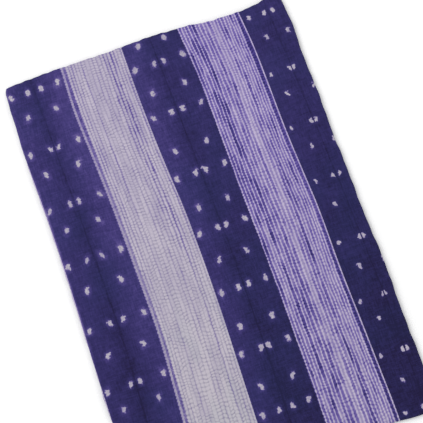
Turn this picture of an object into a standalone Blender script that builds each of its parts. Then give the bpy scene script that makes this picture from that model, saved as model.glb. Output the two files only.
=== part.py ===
"""Folded cloth, dyed in dark dotted panels and pale stitched bands.

One sheet of cotton, folded in three across its width and then once along its
length. The width's section is a strip that goes back and forth: the top layer
spans the folded width, its left side turns under to the middle layer and its
right side turns under to the bottom layer. That section is carried along a
path that runs down the upper half, round the near fold and back along the
lower half, so the finished pack has six layers, a little apart.

Frame: metres, +Z up, +X to the right, +Y along the length towards the cut
ends. The origin is under the middle of the pack, on the surface it rests on.
"""

import math
from collections import namedtuple

import bmesh
import bpy

# Folded size and the cloth itself
FOLDED_WIDTH = 0.344
FOLDED_LENGTH = 0.510
CLOTH_THICKNESS = 0.0010
LAYER_GAP = 0.0004

# How far the two hidden hems stop short of the fold that they lie in
MIDDLE_HEM_INSET = 0.006
BOTTOM_HEM_INSET = 0.009

# How the lower half of the cloth lies: how far short of the upper half's cut end it stops,
# and how far to the left its far end lies, because the cloth was folded a little askew
LOWER_HALF_SHORTFALL = 0.005
LOWER_HALF_SLIP = 0.0014

# Rounding of the pack's corners, seen from above: how far in it draws the sides, and over what length
CORNER_DEPTH = 0.0022
CORNER_LENGTH = 0.008

# Number of flat cells across a layer and along a half, and of steps round a turn
CELLS_ACROSS = 8
CELLS_ALONG = 28
SIDE_TURN_STEPS = 4
NEAR_TURN_STEPS = 6

# Edges at either side: distance from the far end, and how far each edge stands out
SideEdge = namedtuple("SideEdge", "from_far left_out right_out")
SIDE_EDGES = (
    SideEdge(from_far=0.000, left_out=-0.0004, right_out=-0.0016),
    SideEdge(from_far=0.022, left_out=0.0003, right_out=-0.0006),
    SideEdge(from_far=0.045, left_out=0.0004, right_out=0.0008),
    SideEdge(from_far=0.083, left_out=0.0008, right_out=-0.0006),
    SideEdge(from_far=0.110, left_out=0.0009, right_out=-0.0002),
    SideEdge(from_far=0.142, left_out=-0.0001, right_out=0.0003),
    SideEdge(from_far=0.181, left_out=-0.0004, right_out=-0.0006),
    SideEdge(from_far=0.202, left_out=-0.0011, right_out=-0.0001),
    SideEdge(from_far=0.240, left_out=-0.0005, right_out=0.0003),
    SideEdge(from_far=0.273, left_out=-0.0008, right_out=0.0000),
    SideEdge(from_far=0.303, left_out=0.0001, right_out=0.0008),
    SideEdge(from_far=0.343, left_out=0.0002, right_out=0.0019),
    SideEdge(from_far=0.371, left_out=0.0018, right_out=0.0008),
    SideEdge(from_far=0.398, left_out=0.0020, right_out=0.0004),
    SideEdge(from_far=0.425, left_out=-0.0024, right_out=0.0004),
    SideEdge(from_far=0.450, left_out=-0.0038, right_out=0.0008),
    SideEdge(from_far=0.510, left_out=-0.0040, right_out=0.0000),
)

# Edges at either end: distance from the left edge, and how far each end stands out
EndEdge = namedtuple("EndEdge", "from_left far_out near_out")
END_EDGES = (
    EndEdge(from_left=0.000, far_out=-0.0012, near_out=-0.0062),
    EndEdge(from_left=0.020, far_out=-0.0002, near_out=-0.0052),
    EndEdge(from_left=0.065, far_out=0.0006, near_out=-0.0040),
    EndEdge(from_left=0.090, far_out=-0.0002, near_out=-0.0036),
    EndEdge(from_left=0.118, far_out=-0.0012, near_out=-0.0033),
    EndEdge(from_left=0.160, far_out=-0.0004, near_out=-0.0030),
    EndEdge(from_left=0.192, far_out=-0.0004, near_out=-0.0026),
    EndEdge(from_left=0.222, far_out=-0.0022, near_out=-0.0022),
    EndEdge(from_left=0.252, far_out=-0.0066, near_out=-0.0018),
    EndEdge(from_left=0.295, far_out=-0.0074, near_out=-0.0010),
    EndEdge(from_left=0.315, far_out=-0.0060, near_out=0.0004),
    EndEdge(from_left=0.344, far_out=-0.0010, near_out=0.0012),
)

# Soft rises and hollows of the pack: centre, reach and share of the height added
Swell = namedtuple("Swell", "centre_x centre_y reach_x reach_y rise")
SWELLS = (
    Swell(centre_x=-0.165, centre_y=0.060, reach_x=0.030, reach_y=0.160, rise=0.10),
    Swell(centre_x=0.165, centre_y=-0.090, reach_x=0.035, reach_y=0.120, rise=0.13),
    Swell(centre_x=0.020, centre_y=-0.235, reach_x=0.160, reach_y=0.030, rise=0.14),
    Swell(centre_x=-0.060, centre_y=0.020, reach_x=0.070, reach_y=0.100, rise=-0.06),
    Swell(centre_x=0.060, centre_y=0.150, reach_x=0.080, reach_y=0.070, rise=0.07),
    Swell(centre_x=0.090, centre_y=-0.030, reach_x=0.050, reach_y=0.060, rise=-0.04),
    Swell(centre_x=-0.090, centre_y=-0.150, reach_x=0.060, reach_y=0.060, rise=0.05),
)

# The dyed cotton's colour (linear red, green, blue, alpha) and surface
DYE_COLOUR = (0.045, 0.036, 0.125, 1.0)
DYE_ROUGHNESS = 0.9

# Edges sharper than this are shaded as edges, in degrees
SHARP_EDGE_ANGLE = 50

# Worked-out sizes
LAYER_PITCH = CLOTH_THICKNESS + LAYER_GAP
HALF_HEIGHT = 3 * CLOTH_THICKNESS + 2 * LAYER_GAP
FOLD_PLANE = HALF_HEIGHT + LAYER_GAP / 2
PACK_HEIGHT = 2 * FOLD_PLANE
LEFT_EDGE = -FOLDED_WIDTH / 2
RIGHT_EDGE = FOLDED_WIDTH / 2
FAR_EDGE = FOLDED_LENGTH / 2
NEAR_EDGE = -FOLDED_LENGTH / 2

StripPoint = namedtuple("StripPoint", "across height normal_across normal_height")
PathPoint = namedtuple("PathPoint", "along level normal_along normal_level")


def clear_scene():
    """Remove every object, so that the script starts from nothing."""
    for scene_object in list(bpy.data.objects):
        bpy.data.objects.remove(scene_object, do_unlink=True)


def eased(rows, place_column, value_column, place):
    """Read one column of a table at a place, with an eased step from row to row."""
    if place <= getattr(rows[0], place_column):
        return getattr(rows[0], value_column)
    for row, following in zip(rows, rows[1:]):
        start = getattr(row, place_column)
        end = getattr(following, place_column)
        if place <= end:
            share = (place - start) / (end - start)
            ease = share * share * (3 - 2 * share)
            return getattr(row, value_column) * (1 - ease) + getattr(following, value_column) * ease
    return getattr(rows[-1], value_column)


def straight_run(start, end, height, facing):
    """Points of a flat layer's middle line, with its cells at the same places in every layer."""
    first = LEFT_EDGE + BOTTOM_HEM_INSET
    cell = (FOLDED_WIDTH - 2 * BOTTOM_HEM_INSET) / CELLS_ACROSS
    stations = [first + cell * step for step in range(CELLS_ACROSS + 1)]
    low = min(start, end)
    high = max(start, end)
    margin = LAYER_PITCH / 2
    kept = [low] + [station for station in stations if low + margin < station < high - margin] + [high]
    if end < start:
        kept.reverse()
    return [StripPoint(station, height, 0.0, facing) for station in kept]


def side_turn(centre_across, centre_height, radius, start_angle):
    """Points of a half circle at one side, run clockwise from its start angle."""
    points = []
    for step in range(1, SIDE_TURN_STEPS):
        angle = start_angle - math.pi * step / SIDE_TURN_STEPS
        cosine = math.cos(angle)
        sine = math.sin(angle)
        across = centre_across + radius * cosine
        height = centre_height + radius * sine
        points.append(StripPoint(across, height, cosine, sine))
    return points


def strip_middle_line():
    """Middle line of the cloth across its width, from the middle hem to the bottom hem.

    Heights are measured outwards from the pack's inner face. Each point's
    normal points to the face of the cloth that is outside on the top layer.
    """
    bottom = CLOTH_THICKNESS / 2
    middle = bottom + LAYER_PITCH
    top = middle + LAYER_PITCH
    left_radius = (top - middle) / 2
    right_radius = (top - bottom) / 2
    left_centre = LEFT_EDGE + left_radius + CLOTH_THICKNESS / 2
    right_centre = RIGHT_EDGE - right_radius - CLOTH_THICKNESS / 2
    middle_hem = RIGHT_EDGE - MIDDLE_HEM_INSET
    bottom_hem = LEFT_EDGE + BOTTOM_HEM_INSET

    line = straight_run(middle_hem, left_centre, middle, -1.0)
    line += side_turn(left_centre, middle + left_radius, left_radius, -math.pi / 2)
    line += straight_run(left_centre, right_centre, top, 1.0)
    line += side_turn(right_centre, bottom + right_radius, right_radius, math.pi / 2)
    line += straight_run(right_centre, bottom_hem, bottom, -1.0)
    return line


def set_off(point, distance):
    """Place across and height of a point moved along its normal."""
    across = point.across + point.normal_across * distance
    height = point.height + point.normal_height * distance
    return across, height


def strip_outline():
    """Closed outline of the cloth's section: the middle line set off by half the thickness each way."""
    half = CLOTH_THICKNESS / 2
    line = strip_middle_line()
    face = [set_off(point, half) for point in line]
    back = [set_off(point, -half) for point in line]
    return face, back


def fold_path():
    """Path of the pack's inner face, from the upper half's far end round the near fold."""
    inner_radius = LAYER_GAP / 2
    fold_centre = NEAR_EDGE + inner_radius + HALF_HEIGHT
    run = FAR_EDGE - CORNER_LENGTH - fold_centre
    shared = [fold_centre + run * (1 - step / CELLS_ALONG) for step in range(CELLS_ALONG + 1)]
    upper = [FAR_EDGE, FAR_EDGE - CORNER_LENGTH / 3] + shared
    lower = [FAR_EDGE - LOWER_HALF_SHORTFALL] + shared
    path = [PathPoint(station, FOLD_PLANE + inner_radius, 0.0, 1.0) for station in upper]
    for step in range(1, NEAR_TURN_STEPS):
        angle = math.pi / 2 + math.pi * step / NEAR_TURN_STEPS
        cosine = math.cos(angle)
        sine = math.sin(angle)
        along = fold_centre + inner_radius * cosine
        level = FOLD_PLANE + inner_radius * sine
        path.append(PathPoint(along, level, cosine, sine))
    path += [PathPoint(station, FOLD_PLANE - inner_radius, 0.0, -1.0) for station in reversed(lower)]
    return path


def corner_inset(along):
    """How far the rounded corners draw the sides in, growing with the square of the way into the corner."""
    way_to_end = min(FAR_EDGE - along, along - NEAR_EDGE)
    share = max(1 - way_to_end / CORNER_LENGTH, 0.0)
    return CORNER_DEPTH * share * share


def shaped(across, along, level):
    """Place of a point of the even pack in the uneven one.

    The sides and the ends are drawn to the outlines of the two edge tables,
    each spread evenly over the pack, and the lower half slips to the left
    towards its far end. Heights are scaled by the swells, which leaves the
    underside flat and keeps the layers apart.
    """
    from_far = FAR_EDGE - along
    from_left = across - LEFT_EDGE
    inset = corner_inset(along)
    right_share = from_left / FOLDED_WIDTH
    left_out = eased(SIDE_EDGES, "from_far", "left_out", from_far) - inset
    right_out = eased(SIDE_EDGES, "from_far", "right_out", from_far) - inset
    far_share = (along - NEAR_EDGE) / FOLDED_LENGTH
    depth_share = 1 - level / PACK_HEIGHT
    slip = LOWER_HALF_SLIP * far_share * depth_share
    shift_across = right_out * right_share - left_out * (1 - right_share) - slip

    far_out = eased(END_EDGES, "from_left", "far_out", from_left)
    near_out = eased(END_EDGES, "from_left", "near_out", from_left)
    shift_along = far_out * far_share - near_out * (1 - far_share)

    rise = 0.0
    for swell in SWELLS:
        off_x = (across - swell.centre_x) / swell.reach_x
        off_y = (along - swell.centre_y) / swell.reach_y
        rise += swell.rise * math.exp(-off_x * off_x - off_y * off_y)
    return across + shift_across, along + shift_along, level * (1 + rise)


def add_cell(mesh, corners):
    """Add one four-cornered cell as two triangles, cut along the same diagonal as seen from above."""
    first, second, third, fourth = corners
    across = second.co.x - first.co.x
    along = fourth.co.y - first.co.y
    if across * along < 0:
        mesh.faces.new((first, second, third))
        mesh.faces.new((first, third, fourth))
    else:
        mesh.faces.new((first, second, fourth))
        mesh.faces.new((second, third, fourth))


def build_folded_sheet(mesh):
    """Carry the strip's outline along the fold path and close it at both cut ends."""
    face, back = strip_outline()
    outline = face + list(reversed(back))
    rings = []
    for place in fold_path():
        ring = []
        for across, height in outline:
            along = place.along + place.normal_along * height
            level = place.level + place.normal_level * height
            ring.append(mesh.verts.new(shaped(across, along, level)))
        rings.append(ring)

    count = len(outline)
    for ring, following in zip(rings, rings[1:]):
        for index in range(count):
            after = (index + 1) % count
            add_cell(mesh, (ring[index], ring[after], following[after], following[index]))

    for ring in (rings[0], rings[-1]):
        for index in range(len(face) - 1):
            opposite = count - 1 - index
            mesh.faces.new((ring[index], ring[index + 1], ring[opposite - 1]))
            mesh.faces.new((ring[index], ring[opposite - 1], ring[opposite]))


def centre_on_origin(mesh):
    """Move the finished pack so that the middle of its plan stands over the origin."""
    xs = [vertex.co.x for vertex in mesh.verts]
    ys = [vertex.co.y for vertex in mesh.verts]
    middle_x = (min(xs) + max(xs)) / 2
    middle_y = (min(ys) + max(ys)) / 2
    bmesh.ops.translate(mesh, verts=mesh.verts, vec=(-middle_x, -middle_y, 0.0))


def cloth_material():
    """Dull cotton dyed indigo-violet."""
    material = bpy.data.materials.new("dyed_cotton")
    material.use_nodes = True
    shader = material.node_tree.nodes["Principled BSDF"]
    shader.inputs["Base Color"].default_value = DYE_COLOUR
    shader.inputs["Roughness"].default_value = DYE_ROUGHNESS
    shader.inputs["Metallic"].default_value = 0.0
    return material


def make_folded_cloth():
    """The one piece: the whole cloth, folded."""
    mesh = bmesh.new()
    build_folded_sheet(mesh)
    bmesh.ops.recalc_face_normals(mesh, faces=mesh.faces)
    centre_on_origin(mesh)
    data = bpy.data.meshes.new("folded_cloth")
    mesh.to_mesh(data)
    mesh.free()
    data.shade_smooth()
    data.set_sharp_from_angle(angle=math.radians(SHARP_EDGE_ANGLE))
    cloth = bpy.data.objects.new("folded_cloth", data)
    cloth.data.materials.append(cloth_material())
    bpy.context.collection.objects.link(cloth)
    return cloth


clear_scene()
make_folded_cloth()
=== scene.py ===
"""Folded shibori cloth: the finished surface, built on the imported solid's frame.

One sheet of cotton is folded in three across its width and once along its
length. Its dye is charted in short tables: dark panels with mirrored rows of
tied dots, and pale bands of stitched rows. The chart is carried through the
folds as point attributes, so the pattern follows the cloth from the top face to
the underside.

Lengths of the cloth are in metres. The dye chart and the finish are in millimetres.
"""

import logging
import math
from dataclasses import dataclass
from enum import Enum

import bpy
import numpy as np
from mathutils import Matrix, Vector


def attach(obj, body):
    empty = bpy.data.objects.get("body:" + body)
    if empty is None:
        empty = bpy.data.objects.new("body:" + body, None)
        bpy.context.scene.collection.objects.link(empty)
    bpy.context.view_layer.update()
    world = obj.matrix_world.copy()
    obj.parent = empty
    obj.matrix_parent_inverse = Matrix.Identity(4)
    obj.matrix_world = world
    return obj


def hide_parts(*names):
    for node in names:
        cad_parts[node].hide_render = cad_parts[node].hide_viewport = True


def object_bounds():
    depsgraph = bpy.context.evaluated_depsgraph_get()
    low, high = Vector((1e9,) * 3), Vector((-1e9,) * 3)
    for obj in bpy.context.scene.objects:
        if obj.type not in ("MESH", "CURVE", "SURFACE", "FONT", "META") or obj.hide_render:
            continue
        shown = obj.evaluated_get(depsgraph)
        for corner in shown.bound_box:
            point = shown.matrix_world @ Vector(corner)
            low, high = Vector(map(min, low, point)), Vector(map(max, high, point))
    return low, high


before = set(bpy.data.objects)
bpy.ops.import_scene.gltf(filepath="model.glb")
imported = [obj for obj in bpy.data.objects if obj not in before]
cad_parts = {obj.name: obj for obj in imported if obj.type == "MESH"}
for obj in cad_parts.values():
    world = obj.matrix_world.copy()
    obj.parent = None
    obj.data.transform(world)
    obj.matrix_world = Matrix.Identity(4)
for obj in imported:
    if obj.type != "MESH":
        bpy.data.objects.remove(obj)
SOLID_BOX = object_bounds()

LOG = logging.getLogger("folded_cloth")
MM = 1000.0
Pair = tuple[float, float]

# Size of the picture in pixels, each way
PICTURE = 423


class Band(Enum):
    """The two kinds of stitched band, which take turns across the cloth."""

    PALE = 0
    VIOLET = 1


class DyeGrade(Enum):
    """How dark the dye stands in a line between two stitched columns."""

    FAINT = 0.14
    LIGHT = 0.24
    SOFT = 0.39
    MIDDLE = 0.53
    FULL = 0.67
    STRONG = 0.84
    DEEP = 1.02


def through_rows(rows: tuple, place_column: str, value_column: str, at: np.ndarray) -> np.ndarray:
    """Read one column of a table at many places.

    The value follows a cubic curve through the rows, whose slope at each row is
    that of its two neighbours, and stays level beyond the first and last rows.

    Args:
        rows: Table rows, in rising order of the place column.
        place_column: Name of the column that says where a row is.
        value_column: Name of the column to read.
        at: Places to read the column at.

    Returns:
        The value at each place.
    """
    knots = np.array([getattr(row, place_column) for row in rows])
    values = np.array([getattr(row, value_column) for row in rows])
    slopes = np.gradient(values, knots)
    inside = np.clip(at, knots[0], knots[-1])
    index = np.clip(np.searchsorted(knots, inside, side="right") - 1, 0, len(knots) - 2)
    span = knots[index + 1] - knots[index]
    share = (inside - knots[index]) / span
    rest = 1 - share
    start = values[index] * (1 + 2 * share) + slopes[index] * span * share
    end = values[index + 1] * (1 + 2 * rest) - slopes[index + 1] * span * rest
    return start * rest * rest + end * share * share


def eased(value: np.ndarray, low: float, high: float) -> np.ndarray:
    """Rise from 0 at low to 1 at high along a soft step."""
    share = np.clip((value - low) / (high - low), 0, 1)
    return share * share * (3 - 2 * share)


@dataclass(frozen=True)
class SideRow:
    """Where the two side folds lie, as distances in from the solid's box."""

    along: float
    left_in: float
    right_in: float


@dataclass(frozen=True)
class EndRow:
    """Where the cut ends and the near fold lie, as distances in from the solid's box."""

    across: float
    far_in: float
    near_in: float


@dataclass(frozen=True)
class Swell:
    """A broad soft rise or hollow of the whole pack, as a share of its height."""

    across: float
    along: float
    reach_across: float
    reach_along: float
    rise: float


@dataclass(frozen=True)
class Ripple:
    """A long low wave of the top layers."""

    wave_length: float
    heading: float
    height: float
    start: float


@dataclass(frozen=True)
class LayerEnd:
    """How far a part of the cut end stops short, by its place across the opened cloth."""

    unrolled: float
    recess: float


@dataclass(frozen=True)
class GuideRow:
    """Where the pattern's borders and creases cross one line over the folded face."""

    along: float
    left_border: float
    left_crease: float
    first_band_left: float
    first_band_right: float
    middle_crease: float
    second_band_left: float
    second_band_right: float
    right_crease: float


@dataclass(frozen=True)
class DotRows:
    """A row of four dots and the row of two dots that follows it, as distances from the crease."""

    along_four: float
    inner: float
    outer: float
    along_two: float
    middle: float


@dataclass(frozen=True)
class StitchLine:
    """The dye's grade in one dark line, in each kind of band and half."""

    number: int
    pale_far: DyeGrade
    pale_near: DyeGrade
    violet_far: DyeGrade
    violet_near: DyeGrade


@dataclass(frozen=True)
class LineSpacing:
    """Spacing of a band's dark lines, in millimetres from the border with the thin column.

    The lines are evenly spaced, less one sine wave that sags over the whole
    band and one that sways the two halves opposite ways.

    Args:
        first: Place of the first line.
        pitch: Distance from line to line before the waves.
        sag: Height of the wave over the whole band.
        sway: Height of the wave over half the band.
    """

    first: float
    pitch: float
    sag: float
    sway: float

    def place(self, number: int) -> float:
        """Place of the line with this number."""
        share = number / STITCH_LINES[-1].number
        bend = self.sag * math.sin(math.pi * share) + self.sway * math.sin(2 * math.pi * share)
        return self.first + self.pitch * number - bend


@dataclass(frozen=True)
class BorderGap:
    """The dark gap beside a band's separate thin column, at one place along in millimetres.

    The widths are shares of the widest gap.
    """

    along: float
    pale_width: float
    pale_depth: float
    violet_width: float
    violet_depth: float


@dataclass(frozen=True)
class DottedPanel:
    """A dark panel with rows of tied dots mirrored about its crease.

    Args:
        crease: Name of the guide column that the panel's crease follows.
        rows: Its rows of dots, from the far end to the near end.
        dot_size: Share of the usual dot size.
        halo: Share of the soft stain around each dot.
        far_dye: Depth of the dye at the crease's far end, from 0, undyed, to 1, darkest.
        near_dye: Depth of the dye at the crease's near end.
        left_fade: How much paler the dye is at the panel's left border.
        right_fade: How much paler it is at the right border.
    """

    crease: str
    rows: tuple
    dot_size: float
    halo: float
    far_dye: float
    near_dye: float
    left_fade: float
    right_fade: float


LEFT_PANEL = DottedPanel(
    crease="left_crease",
    rows=(
        DotRows(0.2400, 0.0081, 0.0287, 0.2110, 0.0175),
        DotRows(0.1670, 0.0047, 0.0294, 0.1400, 0.0198),
        DotRows(0.0980, 0.0054, 0.0310, 0.0700, 0.0192),
        DotRows(0.0300, 0.0091, 0.0316, -0.0030, 0.0204),
        DotRows(-0.0470, 0.0075, 0.0327, -0.0800, 0.0205),
        DotRows(-0.1180, 0.0054, 0.0331, -0.1420, 0.0205),
        DotRows(-0.1840, 0.0070, 0.0320, -0.2160, 0.0195),
    ),
    dot_size=1.0,
    halo=1.0,
    far_dye=0.870,
    near_dye=0.965,
    left_fade=0.10,
    right_fade=0.16,
)

MIDDLE_PANEL = DottedPanel(
    crease="middle_crease",
    rows=(
        DotRows(0.2900, 0.0060, 0.0290, 0.2485, 0.0163),
        DotRows(0.2215, 0.0058, 0.0292, 0.1890, 0.0199),
        DotRows(0.1605, 0.0066, 0.0296, 0.1150, 0.0190),
        DotRows(0.0835, 0.0056, 0.0286, 0.0440, 0.0174),
        DotRows(0.0155, 0.0049, 0.0273, -0.0200, 0.0166),
        DotRows(-0.0560, 0.0062, 0.0262, -0.0985, 0.0186),
        DotRows(-0.1280, 0.0042, 0.0278, -0.1680, 0.0184),
        DotRows(-0.1990, 0.0080, 0.0270, -0.2350, 0.0180),
    ),
    dot_size=1.04,
    halo=0.85,
    far_dye=0.880,
    near_dye=0.970,
    left_fade=0.13,
    right_fade=0.035,
)

RIGHT_PANEL = DottedPanel(
    crease="right_crease",
    rows=(
        DotRows(0.2355, 0.0050, 0.0238, 0.2070, 0.0132),
        DotRows(0.1626, 0.0022, 0.0255, 0.1350, 0.0161),
        DotRows(0.0950, 0.0023, 0.0278, 0.0675, 0.0137),
        DotRows(0.0270, 0.0040, 0.0251, -0.0046, 0.0140),
        DotRows(-0.0480, 0.0022, 0.0270, -0.0795, 0.0146),
        DotRows(-0.1170, 0.0015, 0.0285, -0.1410, 0.0154),
        DotRows(-0.1810, 0.0025, 0.0280, -0.2130, 0.0145),
        DotRows(-0.2476, 0.0040, 0.0240, -0.2800, 0.0145),
    ),
    dot_size=0.82,
    halo=0.35,
    far_dye=0.860,
    near_dye=0.985,
    left_fade=0.03,
    right_fade=0.04,
)

# The pattern's lines over the folded face, from the near end to the far end
GUIDES = (
    GuideRow(-0.225, -0.1725, -0.1385, -0.1011, -0.0215, 0.0137, 0.0497, 0.1275, 0.1600),
    GuideRow(-0.150, -0.1730, -0.1359, -0.0969, -0.0197, 0.0150, 0.0504, 0.1264, 0.1604),
    GuideRow(-0.075, -0.1722, -0.1330, -0.0932, -0.0177, 0.0158, 0.0506, 0.1251, 0.1600),
    GuideRow(0.000, -0.1708, -0.1332, -0.0942, -0.0175, 0.0159, 0.0500, 0.1257, 0.1587),
    GuideRow(0.050, -0.1705, -0.1341, -0.0952, -0.0187, 0.0148, 0.0490, 0.1237, 0.1573),
    GuideRow(0.100, -0.1712, -0.1352, -0.0971, -0.0218, 0.0132, 0.0489, 0.1220, 0.1557),
    GuideRow(0.150, -0.1726, -0.1367, -0.0998, -0.0242, 0.0121, 0.0487, 0.1219, 0.1540),
    GuideRow(0.200, -0.1735, -0.1377, -0.1023, -0.0254, 0.0109, 0.0474, 0.1213, 0.1523),
    GuideRow(0.250, -0.1745, -0.1385, -0.1012, -0.0256, 0.0097, 0.0435, 0.1180, 0.1506),
)

# The dark lines between the stitched columns, counted from the border with the thin column
STITCH_LINES = (
    StitchLine(0, DyeGrade.LIGHT, DyeGrade.LIGHT, DyeGrade.FULL, DyeGrade.FULL),
    StitchLine(1, DyeGrade.SOFT, DyeGrade.LIGHT, DyeGrade.STRONG, DyeGrade.FULL),
    StitchLine(2, DyeGrade.SOFT, DyeGrade.LIGHT, DyeGrade.FULL, DyeGrade.FULL),
    StitchLine(3, DyeGrade.LIGHT, DyeGrade.FAINT, DyeGrade.FULL, DyeGrade.FULL),
    StitchLine(4, DyeGrade.LIGHT, DyeGrade.FAINT, DyeGrade.STRONG, DyeGrade.FULL),
    StitchLine(5, DyeGrade.SOFT, DyeGrade.LIGHT, DyeGrade.FULL, DyeGrade.DEEP),
    StitchLine(6, DyeGrade.FAINT, DyeGrade.FAINT, DyeGrade.MIDDLE, DyeGrade.FULL),
    StitchLine(7, DyeGrade.FAINT, DyeGrade.FAINT, DyeGrade.SOFT, DyeGrade.FULL),
    StitchLine(8, DyeGrade.LIGHT, DyeGrade.FAINT, DyeGrade.FULL, DyeGrade.SOFT),
    StitchLine(9, DyeGrade.LIGHT, DyeGrade.LIGHT, DyeGrade.FULL, DyeGrade.FULL),
    StitchLine(10, DyeGrade.LIGHT, DyeGrade.LIGHT, DyeGrade.FULL, DyeGrade.STRONG),
    StitchLine(11, DyeGrade.SOFT, DyeGrade.FAINT, DyeGrade.FULL, DyeGrade.STRONG),
    StitchLine(12, DyeGrade.MIDDLE, DyeGrade.FAINT, DyeGrade.DEEP, DyeGrade.FULL),
    StitchLine(13, DyeGrade.MIDDLE, DyeGrade.SOFT, DyeGrade.DEEP, DyeGrade.DEEP),
    StitchLine(14, DyeGrade.SOFT, DyeGrade.LIGHT, DyeGrade.STRONG, DyeGrade.FULL),
    StitchLine(15, DyeGrade.LIGHT, DyeGrade.LIGHT, DyeGrade.STRONG, DyeGrade.FULL),
    StitchLine(16, DyeGrade.SOFT, DyeGrade.LIGHT, DyeGrade.STRONG, DyeGrade.DEEP),
)
PALE_SPACING = LineSpacing(first=5.6, pitch=4.18, sag=0.6, sway=1.15)
VIOLET_SPACING = LineSpacing(first=7.6, pitch=4.02, sag=1.8, sway=1.15)

# The gaps beside the thin columns, from the near end to the far end
BORDER_GAPS = (
    BorderGap(-260.0, 0.45, 0.45, 0.55, 0.75),
    BorderGap(-150.0, 0.55, 0.50, 0.70, 0.80),
    BorderGap(0.0, 0.45, 0.35, 0.60, 0.60),
    BorderGap(90.0, 0.45, 0.40, 0.75, 0.65),
    BorderGap(205.0, 0.80, 0.60, 0.95, 0.75),
    BorderGap(245.0, 0.60, 0.50, 0.65, 0.70),
)


@dataclass(frozen=True)
class PatternChart:
    """Carries the tables' pattern onto any place of the opened cloth.

    The chart is even: panels and bands have fixed widths in it, and rows of dots
    a fixed spacing. Each of the chart's numbers is in millimetres.

    Args:
        panel_width: Width of a dotted panel in the even chart.
        band_width: Width of a stitched band in the even chart.
        row_spacing: Distance from a row of four dots to the row of two after it.
        inner_place: Charted distance of the two inner dots of a row from the crease.
        outer_place: Charted distance of the two outer dots.
        middle_place: Charted distance of the dots in a row of two.
        dot_reach: Half the stretch around each row in which nothing is stretched.
    """

    panel_width: float = 71.0
    band_width: float = 75.0
    row_spacing: float = 36.0
    inner_place: float = 7.5
    outer_place: float = 30.5
    middle_place: float = 19.0
    dot_reach: float = 6.0

    @property
    def repeat(self) -> float:
        """Width of one panel and one band."""
        return self.panel_width + self.band_width

    @property
    def panels(self) -> tuple:
        """The panels that show, from left to right."""
        return (LEFT_PANEL, MIDDLE_PANEL, RIGHT_PANEL)

    def guide_lines(self) -> tuple:
        """Each guide column's name with its place in the even chart."""
        half = self.panel_width / 2
        return (
            ("left_border", 0.0),
            ("left_crease", half),
            ("first_band_left", self.panel_width),
            ("first_band_right", self.repeat),
            ("middle_crease", self.repeat + half),
            ("second_band_left", self.repeat + self.panel_width),
            ("second_band_right", 2 * self.repeat),
            ("right_crease", 2 * self.repeat + half),
        )

    def across(self, x: np.ndarray, y: np.ndarray) -> np.ndarray:
        """Place across the even chart.

        Between two guide lines the chart is stretched evenly from one to the
        other, and beyond the outer lines a millimetre of cloth is a millimetre
        of chart. It is a sum of ramps, one for each pair of neighbouring lines.

        Args:
            x: Place across the opened cloth, which is that of the folded face on the top layer.
            y: Place along the opened cloth.

        Returns:
            The charted place.
        """
        lines = self.guide_lines()
        places = [through_rows(GUIDES, "along", name, y) for name, _ in lines]
        chart = np.minimum(x - places[0], 0) * MM + np.maximum(x - places[-1], 0) * MM
        for index in range(len(lines) - 1):
            run = places[index + 1] - places[index]
            share = np.clip((x - places[index]) / run, 0, 1)
            chart = chart + share * (lines[index + 1][1] - lines[index][1])
        return chart

    def crease(self, panel: DottedPanel, y: np.ndarray) -> np.ndarray:
        """Place of a panel's crease on the folded face."""
        return through_rows(GUIDES, "along", panel.crease, y)

    def rows_along(self, panel: DottedPanel, y: np.ndarray) -> np.ndarray:
        """Place along the even chart, in which a panel's rows are evenly spaced.

        Near each row a millimetre of cloth is a millimetre of chart, and the
        stretches between rows take up what is left.

        Args:
            panel: The panel whose rows are charted.
            y: Place along the opened cloth.

        Returns:
            The charted place, growing towards the near end.
        """
        rows = [place for row in panel.rows for place in (row.along_four, row.along_two)]
        centres = -np.array(rows) * MM
        charted = np.arange(len(rows)) * self.row_spacing
        reach = self.dot_reach
        knots = np.concatenate([[centres[0] - MM], np.stack([centres - reach, centres + reach], 1).ravel()])
        values = np.concatenate([[charted[0] - MM], np.stack([charted - reach, charted + reach], 1).ravel()])
        knots = np.append(knots, centres[-1] + MM)
        values = np.append(values, charted[-1] + MM)
        return np.interp(-y * MM, knots, values)

    def row_column(self, panel: DottedPanel, place_column: str, column: str, y: np.ndarray) -> np.ndarray:
        """Read one column of a panel's dot rows along its length, in millimetres."""
        return through_rows(tuple(reversed(panel.rows)), place_column, column, y) * MM

    def four_place(self, panel: DottedPanel, offset: np.ndarray, y: np.ndarray) -> np.ndarray:
        """Charted distance from the crease, for the rows of four.

        Up to just past the inner dot, and from just before the outer one, a
        millimetre of cloth is a millimetre of chart. The stretch between them
        takes up what is left.

        Args:
            panel: The panel whose dots are charted.
            offset: Distance from the crease, in millimetres.
            y: Place along the opened cloth.

        Returns:
            The charted distance.
        """
        inner = self.row_column(panel, "along_four", "inner", y)
        outer = self.row_column(panel, "along_four", "outer", y)
        inner_end = inner + self.dot_reach
        outer_start = outer - self.dot_reach
        charted_start = self.inner_place + self.dot_reach
        charted_end = self.outer_place - self.dot_reach
        share = (offset - inner_end) / np.maximum(outer_start - inner_end, 1.0)
        between = charted_start + np.clip(share, 0, 1) * (charted_end - charted_start)
        near = offset - inner + self.inner_place
        far = offset - outer + self.outer_place
        return np.where(offset < inner_end, near, np.where(offset > outer_start, far, between))

    def two_place(self, panel: DottedPanel, offset: np.ndarray, y: np.ndarray) -> np.ndarray:
        """Charted distance from the crease, for the rows of two."""
        return offset - self.row_column(panel, "along_two", "middle", y) + self.middle_place


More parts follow.
